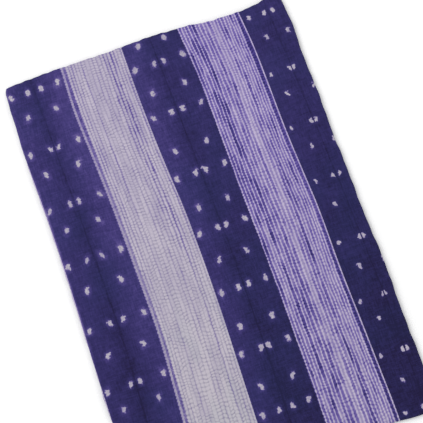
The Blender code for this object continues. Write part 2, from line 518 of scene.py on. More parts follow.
@dataclass(frozen=True)
class StripSection:
    """The cloth's width, folded back and forth into three layers.

    Args:
        left: Left side of the even pack.
        right: Right side of the even pack.
        thickness: Thickness of the cloth.
        pitch: Distance from one layer to the next.
        middle_inset: How far the middle layer's hem stops short of the right fold.
        bottom_inset: How far the bottom layer's hem stops short of the left fold.
        shown_cells: Number of cells across the layer that shows.
        hidden_cells: Number of cells across each layer under it.
        turn_steps: Number of steps round a side fold.
    """

    left: float
    right: float
    thickness: float
    pitch: float
    middle_inset: float = 0.006
    bottom_inset: float = 0.009
    shown_cells: int = 128
    hidden_cells: int = 20
    turn_steps: int = 6

    @property
    def height(self) -> float:
        """Height of the three layers together."""
        return 2 * self.pitch + self.thickness

    def turn(self, centre: float, height: float, radius: float, start: float) -> np.ndarray:
        """Points of a half circle, run clockwise from its start angle, without its two ends.

        Args:
            centre: Place across of the circle's centre.
            height: Height of the circle's centre.
            radius: Radius of the cloth's middle line there.
            start: Angle of the first point, from the right, anticlockwise.

        Returns:
            Rows of place across, height and the two parts of the outward normal.
        """
        angle = start - np.pi * np.arange(1, self.turn_steps) / self.turn_steps
        cosine = np.cos(angle)
        sine = np.sin(angle)
        return np.stack([centre + radius * cosine, height + radius * sine, cosine, sine], 1)

    @staticmethod
    def run(start: float, end: float, height: float, facing: float, cells: int) -> np.ndarray:
        """Points of one flat layer from start to end, in the same columns as a turn."""
        across = np.linspace(start, end, cells + 1)
        level = np.full_like(across, height)
        return np.stack([across, level, np.zeros_like(across), np.full_like(across, facing)], 1)

    def middle_line(self) -> tuple[np.ndarray, np.ndarray]:
        """The cloth's middle line from the middle hem round both folds to the bottom hem.

        Returns:
            The line's points, and how far across the opened cloth each one lies,
            counted so that it equals the place across on the layer that shows.
        """
        bottom = self.thickness / 2
        middle = bottom + self.pitch
        top = middle + self.pitch
        left_radius = self.pitch / 2
        left_centre = self.left + left_radius + bottom
        right_centre = self.right - self.pitch - bottom
        under = self.run(self.right - self.middle_inset, left_centre, middle, -1.0, self.hidden_cells)
        first_turn = self.turn(left_centre, middle + left_radius, left_radius, -np.pi / 2)
        shown = self.run(left_centre, right_centre, top, 1.0, self.shown_cells)
        second_turn = self.turn(right_centre, middle, self.pitch, np.pi / 2)
        lowest = self.run(right_centre, self.left + self.bottom_inset, bottom, -1.0, self.hidden_cells)
        line = np.concatenate([under, first_turn, shown, second_turn, lowest])
        steps = np.hypot(np.diff(line[:, 0]), np.diff(line[:, 1]))
        unrolled = np.concatenate([[0.0], np.cumsum(steps)])
        first_shown = len(under) + len(first_turn)
        return line, unrolled - unrolled[first_shown] + left_centre

    def outline(self) -> tuple[np.ndarray, np.ndarray, np.ndarray]:
        """Closed outline: the middle line set off by half the thickness each way.

        Returns:
            Place across, height above the inner face, and place across the opened cloth.
        """
        line, unrolled = self.middle_line()
        half = self.thickness / 2
        face = line[:, :2] + line[:, 2:] * half
        back = line[:, :2] - line[:, 2:] * half
        both = np.concatenate([face, back[::-1]])
        return both[:, 0], both[:, 1], np.concatenate([unrolled, unrolled[::-1]])


@dataclass(frozen=True)
class LengthFold:
    """The path that the folded strip takes: the upper half, the near fold, the lower half.

    Args:
        far: Far end of the even pack.
        near: Near end of the even pack.
        half_height: Height of the three layers of one half.
        gap: Distance between the two halves.
        shortfall: How far short of the upper half's cut end the lower half stops.
        shown_cells: Number of cells along the upper half.
        hidden_cells: Number of cells along the lower half.
        turn_steps: Number of steps round the near fold.
    """

    far: float
    near: float
    half_height: float
    gap: float
    shortfall: float = 0.005
    shown_cells: int = 150
    hidden_cells: int = 34
    turn_steps: int = 10

    def stations(self) -> np.ndarray:
        """The path's stations.

        The near fold is a half circle whose inner radius is half the gap.

        Returns:
            Rows of place along, level, the two parts of the normal, the place along
            at which the station's straight run ends, and the angle turned so far.
        """
        radius = self.gap / 2
        plane = self.half_height + radius
        centre = self.near + radius + self.half_height
        upper = np.linspace(self.far, centre, self.shown_cells + 1)
        lower = np.linspace(centre, self.far - self.shortfall, self.hidden_cells + 1)
        turned = np.pi * np.arange(1, self.turn_steps) / self.turn_steps
        angle = np.pi / 2 + turned
        none = np.zeros_like
        one = np.ones_like
        top = [upper, plane + radius * one(upper), none(upper), one(upper), upper, none(upper)]
        bend_along = centre + radius * np.cos(angle)
        bend_level = plane + radius * np.sin(angle)
        bend = [bend_along, bend_level, np.cos(angle), np.sin(angle), centre * one(angle), turned]
        flat = 2 * centre - lower
        base = [lower, plane - radius * one(lower), none(lower), -one(lower), flat, np.pi * one(lower)]
        return np.concatenate([np.stack(part, 1) for part in (top, bend, base)])


# The side folds, from the near end to the far end
SIDES = (
    SideRow(-0.256, 0.0060, 0.0013),
    SideRow(-0.220, 0.0060, 0.0011),
    SideRow(-0.186, 0.0058, 0.0009),
    SideRow(-0.161, 0.0016, 0.0012),
    SideRow(-0.143, 0.0000, 0.0013),
    SideRow(-0.116, 0.0000, 0.0007),
    SideRow(-0.088, 0.0010, 0.0000),
    SideRow(-0.059, 0.0012, 0.0005),
    SideRow(-0.030, 0.0016, 0.0017),
    SideRow(0.000, 0.0020, 0.0017),
    SideRow(0.044, 0.0024, 0.0017),
    SideRow(0.074, 0.0023, 0.0024),
    SideRow(0.096, 0.0019, 0.0019),
    SideRow(0.118, 0.0014, 0.0013),
    SideRow(0.135, 0.0007, 0.0016),
    SideRow(0.150, 0.0006, 0.0017),
    SideRow(0.164, 0.0006, 0.0024),
    SideRow(0.180, 0.0006, 0.0021),
    SideRow(0.210, 0.0016, 0.0009),
    SideRow(0.226, 0.0018, 0.0015),
    SideRow(0.242, 0.0021, 0.0032),
    SideRow(0.256, 0.0024, 0.0035),
)

# The cut ends and the near fold, from the left to the right
ENDS = (
    EndRow(-0.172, 0.0014, 0.0063),
    EndRow(-0.158, 0.0009, 0.0055),
    EndRow(-0.135, 0.0004, 0.0048),
    EndRow(-0.113, 0.0000, 0.0043),
    EndRow(-0.101, 0.0001, 0.0041),
    EndRow(-0.091, 0.0006, 0.0039),
    EndRow(-0.080, 0.0004, 0.0037),
    EndRow(-0.050, 0.0014, 0.0034),
    EndRow(-0.014, 0.0009, 0.0032),
    EndRow(0.020, 0.0010, 0.0030),
    EndRow(0.036, 0.0023, 0.0028),
    EndRow(0.064, 0.0043, 0.0025),
    EndRow(0.074, 0.0063, 0.0024),
    EndRow(0.085, 0.0074, 0.0022),
    EndRow(0.098, 0.0079, 0.0021),
    EndRow(0.128, 0.0083, 0.0018),
    EndRow(0.143, 0.0069, 0.0004),
    EndRow(0.156, 0.0044, 0.0001),
    EndRow(0.172, 0.0018, 0.0003),
)

SWELLS = (
    Swell(-0.165, 0.060, 0.030, 0.160, 0.10),
    Swell(0.165, -0.090, 0.035, 0.120, 0.13),
    Swell(0.020, -0.235, 0.160, 0.030, 0.14),
    Swell(-0.060, 0.020, 0.070, 0.100, -0.06),
    Swell(0.060, 0.150, 0.080, 0.070, 0.07),
    Swell(0.090, -0.030, 0.050, 0.060, -0.04),
    Swell(-0.090, -0.150, 0.060, 0.060, 0.05),
)

RIPPLES = (
    Ripple(0.118, 12.0, 0.00010, 0.6),
    Ripple(0.083, 104.0, 0.00008, 2.1),
    Ripple(0.047, 78.0, 0.00005, 4.0),
    Ripple(0.031, 171.0, 0.00004, 1.3),
)

# The cut ends of the hidden layers, by their place across the opened cloth
LAYER_ENDS = (
    LayerEnd(-0.510, 0.0034),
    LayerEnd(-0.400, 0.0016),
    LayerEnd(-0.280, 0.0029),
    LayerEnd(-0.200, 0.0012),
    LayerEnd(-0.172, 0.0000),
    LayerEnd(0.172, 0.0000),
    LayerEnd(0.205, 0.0016),
    LayerEnd(0.300, 0.0037),
    LayerEnd(0.420, 0.0018),
    LayerEnd(0.510, 0.0031),
)


@dataclass(frozen=True)
class Relief:
    """Creases and ripples of the top layers, in metres.

    Args:
        crease_depth: Depth of the trough along each panel's crease.
        crease_reach: Half width of that trough.
        cross_along: Place along of the faint crease across the first panel.
        cross_depth: Depth of that crease.
        cross_reach: Half width of that crease.
        cross_across: Place across at which it has that place along.
        cross_slant: How much further along it lies for each metre to the right.
        cross_end: Places across between which it fades out.
        depth_change: Share of the crease depth that comes and goes along the length.
        change_rate: How fast it does, in radians to a metre.
        change_apart: How far apart in this the panels are, in radians.
    """

    crease_depth: float = 0.00038
    crease_reach: float = 0.0026
    cross_along: float = 0.128
    cross_depth: float = 0.00020
    cross_reach: float = 0.0030
    cross_across: float = -0.135
    cross_slant: float = 0.02
    cross_end: Pair = (-0.110, -0.095)
    depth_change: float = 0.2
    change_rate: float = 31.0
    change_apart: float = 2.0

    def height(self, chart: PatternChart, x: np.ndarray, y: np.ndarray) -> np.ndarray:
        """Height of the relief over the even face.

        Each crease is a bell-shaped trough that follows its guide line and grows
        shallower and deeper along the length. The ripples are sine waves.

        Args:
            chart: The pattern, whose panels' creases are followed.
            x: Place across.
            y: Place along.

        Returns:
            The height at each place.
        """
        height = np.zeros_like(x)
        for number, panel in enumerate(chart.panels):
            off = (x - chart.crease(panel, y)) / self.crease_reach
            change = np.sin(y * self.change_rate + number * self.change_apart)
            depth = self.crease_depth * (1 - self.depth_change + self.depth_change * change)
            height -= depth * np.exp(-off * off)
        cross_line = self.cross_along + self.cross_slant * (x - self.cross_across)
        off = (y - cross_line) / self.cross_reach
        first_panel = 1 - eased(x, *self.cross_end)
        height -= self.cross_depth * np.exp(-off * off) * first_panel
        for ripple in RIPPLES:
            heading = math.radians(ripple.heading)
            way = x * math.cos(heading) + y * math.sin(heading)
            height += ripple.height * np.sin(way * 2 * np.pi / ripple.wave_length + ripple.start)
        return height


@dataclass(frozen=True)
class FoldedSheet:
    """The whole cloth: its section carried along the length fold and made uneven.

    Args:
        width: Folded width of the even pack.
        length: Folded length of the even pack.
        thickness: Thickness of the cloth.
        pack_height: Height of all layers.
        layers: Number of layers.
        corner_depth: How far the rounded corners draw the sides in.
        corner_length: Over what length they do.
        slip: How far to the left the lower half's far end lies.
        waver: Height of the small waves along the cut ends and the sides.
        end_waves: Lengths of the two waves that meet along the cut ends.
        side_waves: Lengths of the two waves that meet along the sides.
        wave_fade: Power of the share of length with which the end waves fade out.
        ragged_length: Over what length before the cut ends the layers part.
        edge_press: Share of its height that the pack loses at its sides.
        end_press: Share of that loss at its two ends.
        edge_reach: Over what distance from an edge it does.
        sharp_angle: Edges sharper than this are shaded as edges, in degrees.
        pale_line_inset: How far in from the left fold its paler line lies.
        pale_line_reach: Half width of that line.
        least_pale_line: Share of the line's paleness outside the pale stretch.
        pale_stretch_start: Places along between which the pale stretch begins.
        pale_stretch_end: Places along between which it ends.
        dye_change: Places towards the near end between which the far dye gives way to the near dye.
    """

    width: float = 0.344
    length: float = 0.510
    thickness: float = 0.0008
    pack_height: float = 0.0077
    layers: int = 6
    corner_depth: float = 0.0022
    corner_length: float = 0.008
    slip: float = 0.0014
    waver: float = 0.00022
    end_waves: Pair = (0.0115, 0.0187)
    side_waves: Pair = (0.0231, 0.0393)
    wave_fade: int = 8
    ragged_length: float = 0.08
    edge_press: float = 0.16
    end_press: float = 0.6
    edge_reach: float = 0.0060
    sharp_angle: float = 50.0
    pale_line_inset: float = 0.0003
    pale_line_reach: float = 0.0009
    least_pale_line: float = 0.2
    pale_stretch_start: Pair = (-0.10, -0.03)
    pale_stretch_end: Pair = (0.10, 0.16)
    dye_change: Pair = (-0.21, 0.27)

    @property
    def section(self) -> StripSection:
        """The cloth's width in three layers."""
        pitch = (self.pack_height - self.thickness) / (self.layers - 1)
        return StripSection(-self.width / 2, self.width / 2, self.thickness, pitch)

    @property
    def fold(self) -> LengthFold:
        """The length fold that carries the section."""
        section = self.section
        gap = section.pitch - section.thickness
        return LengthFold(self.length / 2, -self.length / 2, section.height, gap)

    def grid(self) -> dict[str, np.ndarray]:
        """Places of the even pack: one row for each station, one column for each outline point."""
        across, height, unrolled = self.section.outline()
        stations = self.fold.stations()
        along, level, normal_along, normal_level, flat, turned = (column[:, None] for column in stations.T)
        radius = self.fold.gap / 2
        shape = (len(stations), len(across))
        return {
            "across": np.broadcast_to(across, shape),
            "along": along + normal_along * height,
            "level": level + normal_level * height,
            "opened_across": np.broadcast_to(unrolled, shape),
            "opened_along": flat - turned * (radius + height),
        }

    def small_waves(self, place: np.ndarray, lengths: Pair) -> np.ndarray:
        """Two sine waves of different length added up, so that no stretch is like the next."""
        first, second = lengths
        return self.waver * (np.sin(2 * np.pi * place / first) + np.sin(2 * np.pi * place / second))

    def drawn(
        self, across: np.ndarray, along: np.ndarray, level: np.ndarray
    ) -> tuple[np.ndarray, np.ndarray]:
        """Draw the even pack to the uneven outline, seen from above.

        The ends come first: the place along goes evenly from the near outline to
        the far one. Then the place across goes evenly from the left outline to the
        right one, less the corners' rounding and the lower half's slip. Small
        waves run along the cut ends and both sides.

        Args:
            across: Place across the even pack.
            along: Place along the even pack.
            level: Height in the even pack.

        Returns:
            Place across and place along.
        """
        low, high = SOLID_BOX
        far_share = along / self.length + 0.5
        right_share = across / self.width + 0.5
        far = high[1] - through_rows(ENDS, "across", "far_in", across)
        far += self.small_waves(across, self.end_waves) * far_share**self.wave_fade
        near = low[1] + through_rows(ENDS, "across", "near_in", across)
        y = near + (far - near) * far_share
        way_to_end = self.length / 2 - np.abs(along)
        corner = self.corner_depth * np.maximum(1 - way_to_end / self.corner_length, 0) ** 2
        side_wave = self.small_waves(y, self.side_waves)
        left = low[0] + through_rows(SIDES, "along", "left_in", y) + corner + side_wave
        right = high[0] - through_rows(SIDES, "along", "right_in", y) - corner + side_wave
        depth_share = 1 - level / self.pack_height
        return left + (right - left) * right_share - self.slip * far_share * depth_share, y

    def raised(
        self, places: dict[str, np.ndarray], x: np.ndarray, y: np.ndarray, relief: np.ndarray
    ) -> np.ndarray:
        """Height of each point: the even level scaled by the swells and pressed at the edges.

        The underside stays flat, because every term grows with the level. The
        relief fades with the cube of the depth, which keeps the layers apart.

        Args:
            places: The even pack's places.
            x: Place across.
            y: Place along.
            relief: Height of the relief at each place.

        Returns:
            The height at each place.
        """
        scale = np.ones_like(x)
        for swell in SWELLS:
            off_across = (x - swell.across) / swell.reach_across
            off_along = (y - swell.along) / swell.reach_along
            scale += swell.rise * np.exp(-off_across * off_across - off_along * off_along)
        from_side = (self.width / 2 - np.abs(places["across"])) / self.edge_reach
        from_end = (self.length / 2 - np.abs(places["along"])) / self.edge_reach
        pressed = np.exp(-from_side * from_side) + self.end_press * np.exp(-from_end * from_end)
        scale *= 1 - self.edge_press * pressed
        share = places["level"] / self.pack_height
        return places["level"] * scale + relief * share**3

    @staticmethod
    def faces(stations: int, points: int) -> np.ndarray:
        """Four-cornered faces of the closed grid, with both cut ends.

        Args:
            stations: Number of stations along the path.
            points: Number of points round the outline.

        Returns:
            Rows of four point numbers.
        """
        station, point = np.meshgrid(np.arange(stations - 1), np.arange(points), indexing="ij")
        after = (point + 1) % points
        first = station * points
        second = first + points
        tube = np.stack([first + point, first + after, second + after, second + point], -1).reshape(-1, 4)
        index = np.arange(points // 2 - 1)
        start = np.stack([index + 1, index, points - 1 - index, points - 2 - index], -1)
        end = start[:, ::-1] + (stations - 1) * points
        return np.concatenate([tube, start, end])

    @staticmethod
    def outward(points: np.ndarray, faces: np.ndarray) -> np.ndarray:
        """Turn every face round if the closed surface holds a negative volume."""
        first, second, third, fourth = (points[faces[:, corner]] for corner in range(4))
        diagonal = np.cross(third - first, fourth - second)
        volume = np.sum((first + second + third + fourth) * diagonal)
        return faces if volume > 0 else faces[:, ::-1]

    def chart_numbers(self, chart: PatternChart, places: dict, y_shift: np.ndarray) -> dict[str, np.ndarray]:
        """The dye chart's numbers at each point, for the finish to read.

        Args:
            chart: The pattern.
            places: The even pack's places.
            y_shift: How far the uneven outline moves each point along.

        Returns:
            One array for each attribute, of one number or three numbers a point.
        """
        opened_along = places["opened_along"] + y_shift
        folded = np.clip(places["opened_across"], -self.width / 2, self.width / 2)
        top_level = np.full_like(folded, self.pack_height)
        face_along = np.clip(places["opened_along"], -self.length / 2, self.length / 2)
        face_x, _ = self.drawn(folded, face_along, top_level)
        opened_across = places["opened_across"] + face_x - folded
        charted = chart.across(opened_across, opened_along)
        number = np.floor((charted + chart.band_width / 2) / chart.repeat)
        kinds = np.floor(charted / chart.repeat - chart.panel_width / chart.repeat / 2)
        size = np.zeros_like(charted)
        halo = np.zeros_like(charted)
        dye = np.zeros_like(charted)
        four = np.zeros_like(charted)
        two = np.zeros_like(charted)
        row = np.zeros_like(charted)
        near_share = eased(-opened_along, *self.dye_change)
        for index, panel in enumerate(chart.panels):
            here = np.mod(number, len(chart.panels)) == index
            shift = (number - index) * chart.repeat / MM
            side = (opened_across - shift - chart.crease(panel, opened_along)) * MM
            offset = np.abs(side)
            way = np.clip(offset / (chart.panel_width / 2), 0, 1)
            fade = np.where(side < 0, panel.left_fade, panel.right_fade) * way * (2 - way)
            at_crease = panel.far_dye + (panel.near_dye - panel.far_dye) * near_share
            four = np.where(here, chart.four_place(panel, offset, opened_along), four)
            two = np.where(here, chart.two_place(panel, offset, opened_along), two)
            row = np.where(here, chart.rows_along(panel, opened_along), row)
            size = np.where(here, panel.dot_size, size)
            halo = np.where(here, panel.halo, halo)
            dye = np.where(here, at_crease - fade, dye)
        kind = np.mod(kinds, len(Band))
        # A paler line along the left fold, full over one stretch of its length
        from_fold = (places["opened_across"] + self.width / 2 - self.pale_line_inset) / self.pale_line_reach
        pale_stretch = eased(opened_along, *self.pale_stretch_start) * (1 - eased(opened_along, *self.pale_stretch_end))
        fold_paling = self.least_pale_line + (1 - self.least_pale_line) * pale_stretch
        return {
            "fold_pale_line": np.exp(-from_fold * from_fold) * fold_paling,
            "cloth_place": np.stack([opened_across * MM, opened_along * MM, near_share], -1),
            "chart_place": np.stack([charted, kind, dye], -1),
            "dot_place": np.stack([four, two, row], -1),
            "dot_look": np.stack([size, halo, number], -1),
        }

    def build(self, chart: PatternChart, relief: Relief) -> bpy.types.Object:
        """Make the cloth's mesh with the dye chart on its points.

        Args:
            chart: The pattern that the cloth carries.
            relief: Creases and ripples of its top layers.

        Returns:
            The finished object.
        """
        places = self.grid()
        x, y = self.drawn(places["across"], places["along"], places["level"])
        recess = np.maximum(through_rows(LAYER_ENDS, "unrolled", "recess", places["opened_across"]), 0)
        end_share = eased(places["along"], self.length / 2 - self.ragged_length, self.length / 2)
        short_y = y - recess * end_share
        z = self.raised(places, x, y, relief.height(chart, x, y))
        points = np.stack([x, short_y, z], -1).reshape(-1, 3)
        faces = self.outward(points, self.faces(*x.shape))
        mesh = bpy.data.meshes.new("dyed_cloth")
        mesh.from_pydata(points.tolist(), [], faces.tolist())
        for name, numbers in self.chart_numbers(chart, places, y - places["along"]).items():
            single = numbers.ndim == x.ndim
            layer = mesh.attributes.new(name, "FLOAT" if single else "FLOAT_VECTOR", "POINT")
            layer.data.foreach_set("value" if single else "vector", numbers.astype(np.float32).ravel())
        mesh.shade_smooth()
        mesh.set_sharp_from_angle(angle=math.radians(self.sharp_angle))
        cloth = bpy.data.objects.new("dyed_cloth", mesh)
        bpy.context.collection.objects.link(cloth)
        return cloth

    def flat_size(self) -> tuple[float, float]:
        """Width and length of the opened cloth, along its middle line."""
        _, unrolled = self.section.middle_line()
        *_, flat, _ = self.fold.stations().T
        middle = (self.fold.gap + self.section.height) / 2
        length = flat[0] - flat[-1] + np.pi * middle
        return float(unrolled[-1] - unrolled[0]), float(length)


@dataclass(frozen=True)
class Unevenness:
    """One kind of soft noise over the cloth.

    Args:
        bumps: Bumps to a millimetre, before the two shares.
        across: Share of the bumps that is left across.
        along: Share of the bumps that is left along.
        layers: How many finer layers are added.
        place: Its place in the noise, so that no two kinds are alike.
        strength: How much of it is added where it is used first.
    """

    bumps: float
    across: float = 1.0
    along: float = 1.0
    layers: float = 1.0
    place: float = 0.0
    strength: float = 1.0


class NodePen:
    """Writes shader nodes so that a finish reads as its formula."""

    def __init__(self, tree: bpy.types.NodeTree) -> None:
        """Keep the tree that the nodes go into."""
        self.tree = tree

    def feed(self, socket: bpy.types.NodeSocket, value: object) -> None:
        """Link a socket to another, or give it a plain value."""
        if isinstance(value, bpy.types.NodeSocket):
            self.tree.links.new(value, socket)
        else:
            socket.default_value = value

    def math(self, operation: str, *values: object, clamp: bool = False) -> bpy.types.NodeSocket:
        """One sum.

        Args:
            operation: Blender's name for it.
            values: One to three sockets or numbers.
            clamp: Whether the result is kept from 0 to 1.

        Returns:
            The result's socket.
        """
        node = self.tree.nodes.new("ShaderNodeMath")
        node.operation = operation
        node.use_clamp = clamp
        for socket, value in zip(node.inputs, values):
            self.feed(socket, value)
        return node.outputs[0]

    def add(self, first: object, second: object) -> bpy.types.NodeSocket:
        """First plus second."""
        return self.math("ADD", first, second)

    def less(self, first: object, second: object) -> bpy.types.NodeSocket:
        """First minus second."""
        return self.math("SUBTRACT", first, second)

    def times(self, first: object, second: object) -> bpy.types.NodeSocket:
        """First times second."""
        return self.math("MULTIPLY", first, second)

    def plus_part(self, base: object, value: object, part: object) -> bpy.types.NodeSocket:
        """Base plus a part of a value."""
        return self.math("MULTIPLY_ADD", value, part, base)

    def point(self, x: object, y: object, z: object) -> bpy.types.NodeSocket:
        """Three numbers as one place."""
        node = self.tree.nodes.new("ShaderNodeCombineXYZ")
        for socket, value in zip(node.inputs, (x, y, z)):
            self.feed(socket, value)
        return node.outputs[0]

    def attribute(self, name: str) -> tuple[bpy.types.NodeSocket, ...]:
        """The three numbers of one of the cloth's attributes."""
        node = self.tree.nodes.new("ShaderNodeAttribute")
        node.attribute_name = name
        parts = self.tree.nodes.new("ShaderNodeSeparateXYZ")
        self.tree.links.new(node.outputs["Vector"], parts.inputs[0])
        return tuple(parts.outputs)

    def single(self, name: str) -> bpy.types.NodeSocket:
        """The number of an attribute that holds one for each point."""
        node = self.tree.nodes.new("ShaderNodeAttribute")
        node.attribute_name = name
        return node.outputs["Fac"]

    def noise(self, place: object, scale: float, detail: float = 1.0) -> bpy.types.NodeSocket:
        """Soft noise from about -1 to 1.

        Args:
            place: Where to read it.
            scale: How many bumps it has to a unit.
            detail: How many finer layers are added.

        Returns:
            The noise's socket.
        """
        node = self.tree.nodes.new("ShaderNodeTexNoise")
        self.feed(node.inputs["Vector"], place)
        node.inputs["Scale"].default_value = scale
        node.inputs["Detail"].default_value = detail
        return self.math("MULTIPLY_ADD", node.outputs["Fac"], 2.0, -1.0)

    def uneven(
        self, kind: Unevenness, across: object, along: object, place: object = None
    ) -> bpy.types.NodeSocket:
        """Soft noise of one kind, from about -1 to 1.

        Args:
            kind: How fast it changes.
            across: Place across, in millimetres or in numbers of lines.
            along: Place along, in millimetres.
            place: Place in the noise, where it isn't the kind's own.

        Returns:
            The noise's socket.
        """
        depth = kind.place if place is None else place
        at = self.point(self.times(across, kind.across), self.times(along, kind.along), depth)
        return self.noise(at, kind.bumps, kind.layers)

    def step(self, value: object, low: object, high: object) -> bpy.types.NodeSocket:
        """Soft step from 0 at low to 1 at high."""
        node = self.tree.nodes.new("ShaderNodeMapRange")
        node.interpolation_type = "SMOOTHSTEP"
        self.feed(node.inputs["Value"], value)
        self.feed(node.inputs["From Min"], low)
        self.feed(node.inputs["From Max"], high)
        return node.outputs["Result"]

    def blend(self, first: object, second: object, share: object) -> bpy.types.NodeSocket:
        """Number that goes from first to second as the share goes from 0 to 1."""
        node = self.tree.nodes.new("ShaderNodeMix")
        # Inputs 2 and 3 are the two numbers
        self.feed(node.inputs[0], share)
        self.feed(node.inputs[2], first)
        self.feed(node.inputs[3], second)
        return node.outputs[0]

    def tint(self, first: object, second: object, share: object, way: str = "MIX") -> bpy.types.NodeSocket:
        """Colour that goes from first to second as the share goes from 0 to 1.

        Args:
            first: The first colour.
            second: The second colour.
            share: How far to go.
            way: Blender's name for how the second colour is laid over the first.

        Returns:
            The colour's socket.
        """
        node = self.tree.nodes.new("ShaderNodeMix")
        node.data_type = "RGBA"
        node.blend_type = way
        node.clamp_factor = False
        # Inputs 6 and 7 are the two colours, and output 2 is their mix
        self.feed(node.inputs[0], share)
        self.feed(node.inputs[6], first)
        self.feed(node.inputs[7], second)
        return node.outputs[2]

    def ramp(self, value: object, stops: tuple) -> bpy.types.NodeSocket:
        """Colour read from a ramp of (place, colour) stops."""
        node = self.tree.nodes.new("ShaderNodeValToRGB")
        self.feed(node.inputs[0], value)
        elements = node.color_ramp.elements
        while len(elements) < len(stops):
            elements.new(1.0)
        for element, (place, colour) in zip(elements, stops):
            element.position = place
            element.color = colour
        return node.outputs[0]

    def curve(self, value: object, points: list) -> bpy.types.NodeSocket:
        """Number read from a curve through (place, value) points."""
        node = self.tree.nodes.new("ShaderNodeFloatCurve")
        self.feed(node.inputs["Value"], value)
        line = node.mapping.curves[0]
        while len(line.points) < len(points):
            line.points.new(0.5, 0.5)
        for handle, place in zip(line.points, points):
            handle.location = place
            handle.handle_type = "VECTOR"
        node.mapping.update()
        return node.outputs[0]


def picture_colour(red: int, green: int, blue: int, light: float = 1.0) -> tuple[float, float, float, float]:
    """Colour as a screen shows it, from 0 to 255, turned into the finish's own scale.

    The numbers in the sum are those of the usual screen curve.

    Args:
        red: Red part.
        green: Green part.
        blue: Blue part.
        light: How bright the studio light makes a white surface.

    Returns:
        Red, green, blue and alpha on the linear scale.
    """
    parts = np.array([red, green, blue]) / 255
    linear = np.where(parts <= 0.04045, parts / 12.92, ((parts + 0.055) / 1.055) ** 2.4) / light
    return tuple(float(part) for part in linear) + (1.0,)


@dataclass(frozen=True)
class DyeStop:
    """Colour of the cloth at one depth of dye, as a screen shows it."""

    depth: float
    red: int
    green: int
    blue: int


DYE_STOPS = (
    DyeStop(0.00, 205, 198, 208),
    DyeStop(0.10, 186, 179, 195),
    DyeStop(0.22, 168, 159, 186),
    DyeStop(0.36, 143, 131, 178),
    DyeStop(0.50, 115, 101, 164),
    DyeStop(0.68, 78, 67, 133),
    DyeStop(0.80, 58, 51, 109),
    DyeStop(0.90, 46, 41, 91),
    DyeStop(1.00, 34, 28, 67),
)


def crease_distance(pen: NodePen, chart: PatternChart) -> bpy.types.NodeSocket:
    """Charted distance to the crease of the nearest panel on the same side."""
    charted, _, _ = pen.attribute("chart_place")
    local = pen.math("WRAP", charted, chart.repeat, 0.0)
    return pen.math("ABSOLUTE", pen.less(local, chart.panel_width / 2))


@dataclass(frozen=True)
class DyedGround:
    """The dark ground of the dotted panels.

    Args:
        clouds: Broad paler and darker clouds.
        streaks: Lengthwise streaks.
        mottle: Small paler and darker spots.
        warp: Uneven dye of the lengthwise threads.
        weft: Uneven dye of the crosswise threads.
        crease_line: Distances from the crease at which its line of painted shade ends and at which it is
            full.
        crease_painted_shade: How much darker that painted shade line is.
    """

    clouds: Unevenness = Unevenness(0.022, layers=3.0, strength=0.070)
    streaks: Unevenness = Unevenness(0.50, along=0.035, layers=2.0, place=5.0, strength=0.035)
    mottle: Unevenness = Unevenness(0.16, layers=3.0, place=11.0, strength=0.025)
    warp: Unevenness = Unevenness(0.85, along=0.16, place=15.0, strength=0.10)
    weft: Unevenness = Unevenness(0.85, across=0.16, place=17.0, strength=0.10)
    crease_line: Pair = (1.5, 0.0)
    crease_painted_shade: float = 0.060

    def depth(self, pen: NodePen, chart: PatternChart) -> bpy.types.NodeSocket:
        """Depth of dye of the panels' ground, with a line of painted shade along each crease.

        Args:
            pen: Writes the nodes.
            chart: The pattern.

        Returns:
            The depth's socket.
        """
        across, along, _ = pen.attribute("cloth_place")
        _, _, depth = pen.attribute("chart_place")
        for kind in (self.clouds, self.streaks, self.mottle, self.warp, self.weft):
            depth = pen.plus_part(depth, pen.uneven(kind, across, along), kind.strength)
        # Painted shade: the ground is made darker along each panel's crease, where its trough lies
        crease = pen.step(crease_distance(pen, chart), *self.crease_line)
        return pen.plus_part(depth, crease, self.crease_painted_shade)


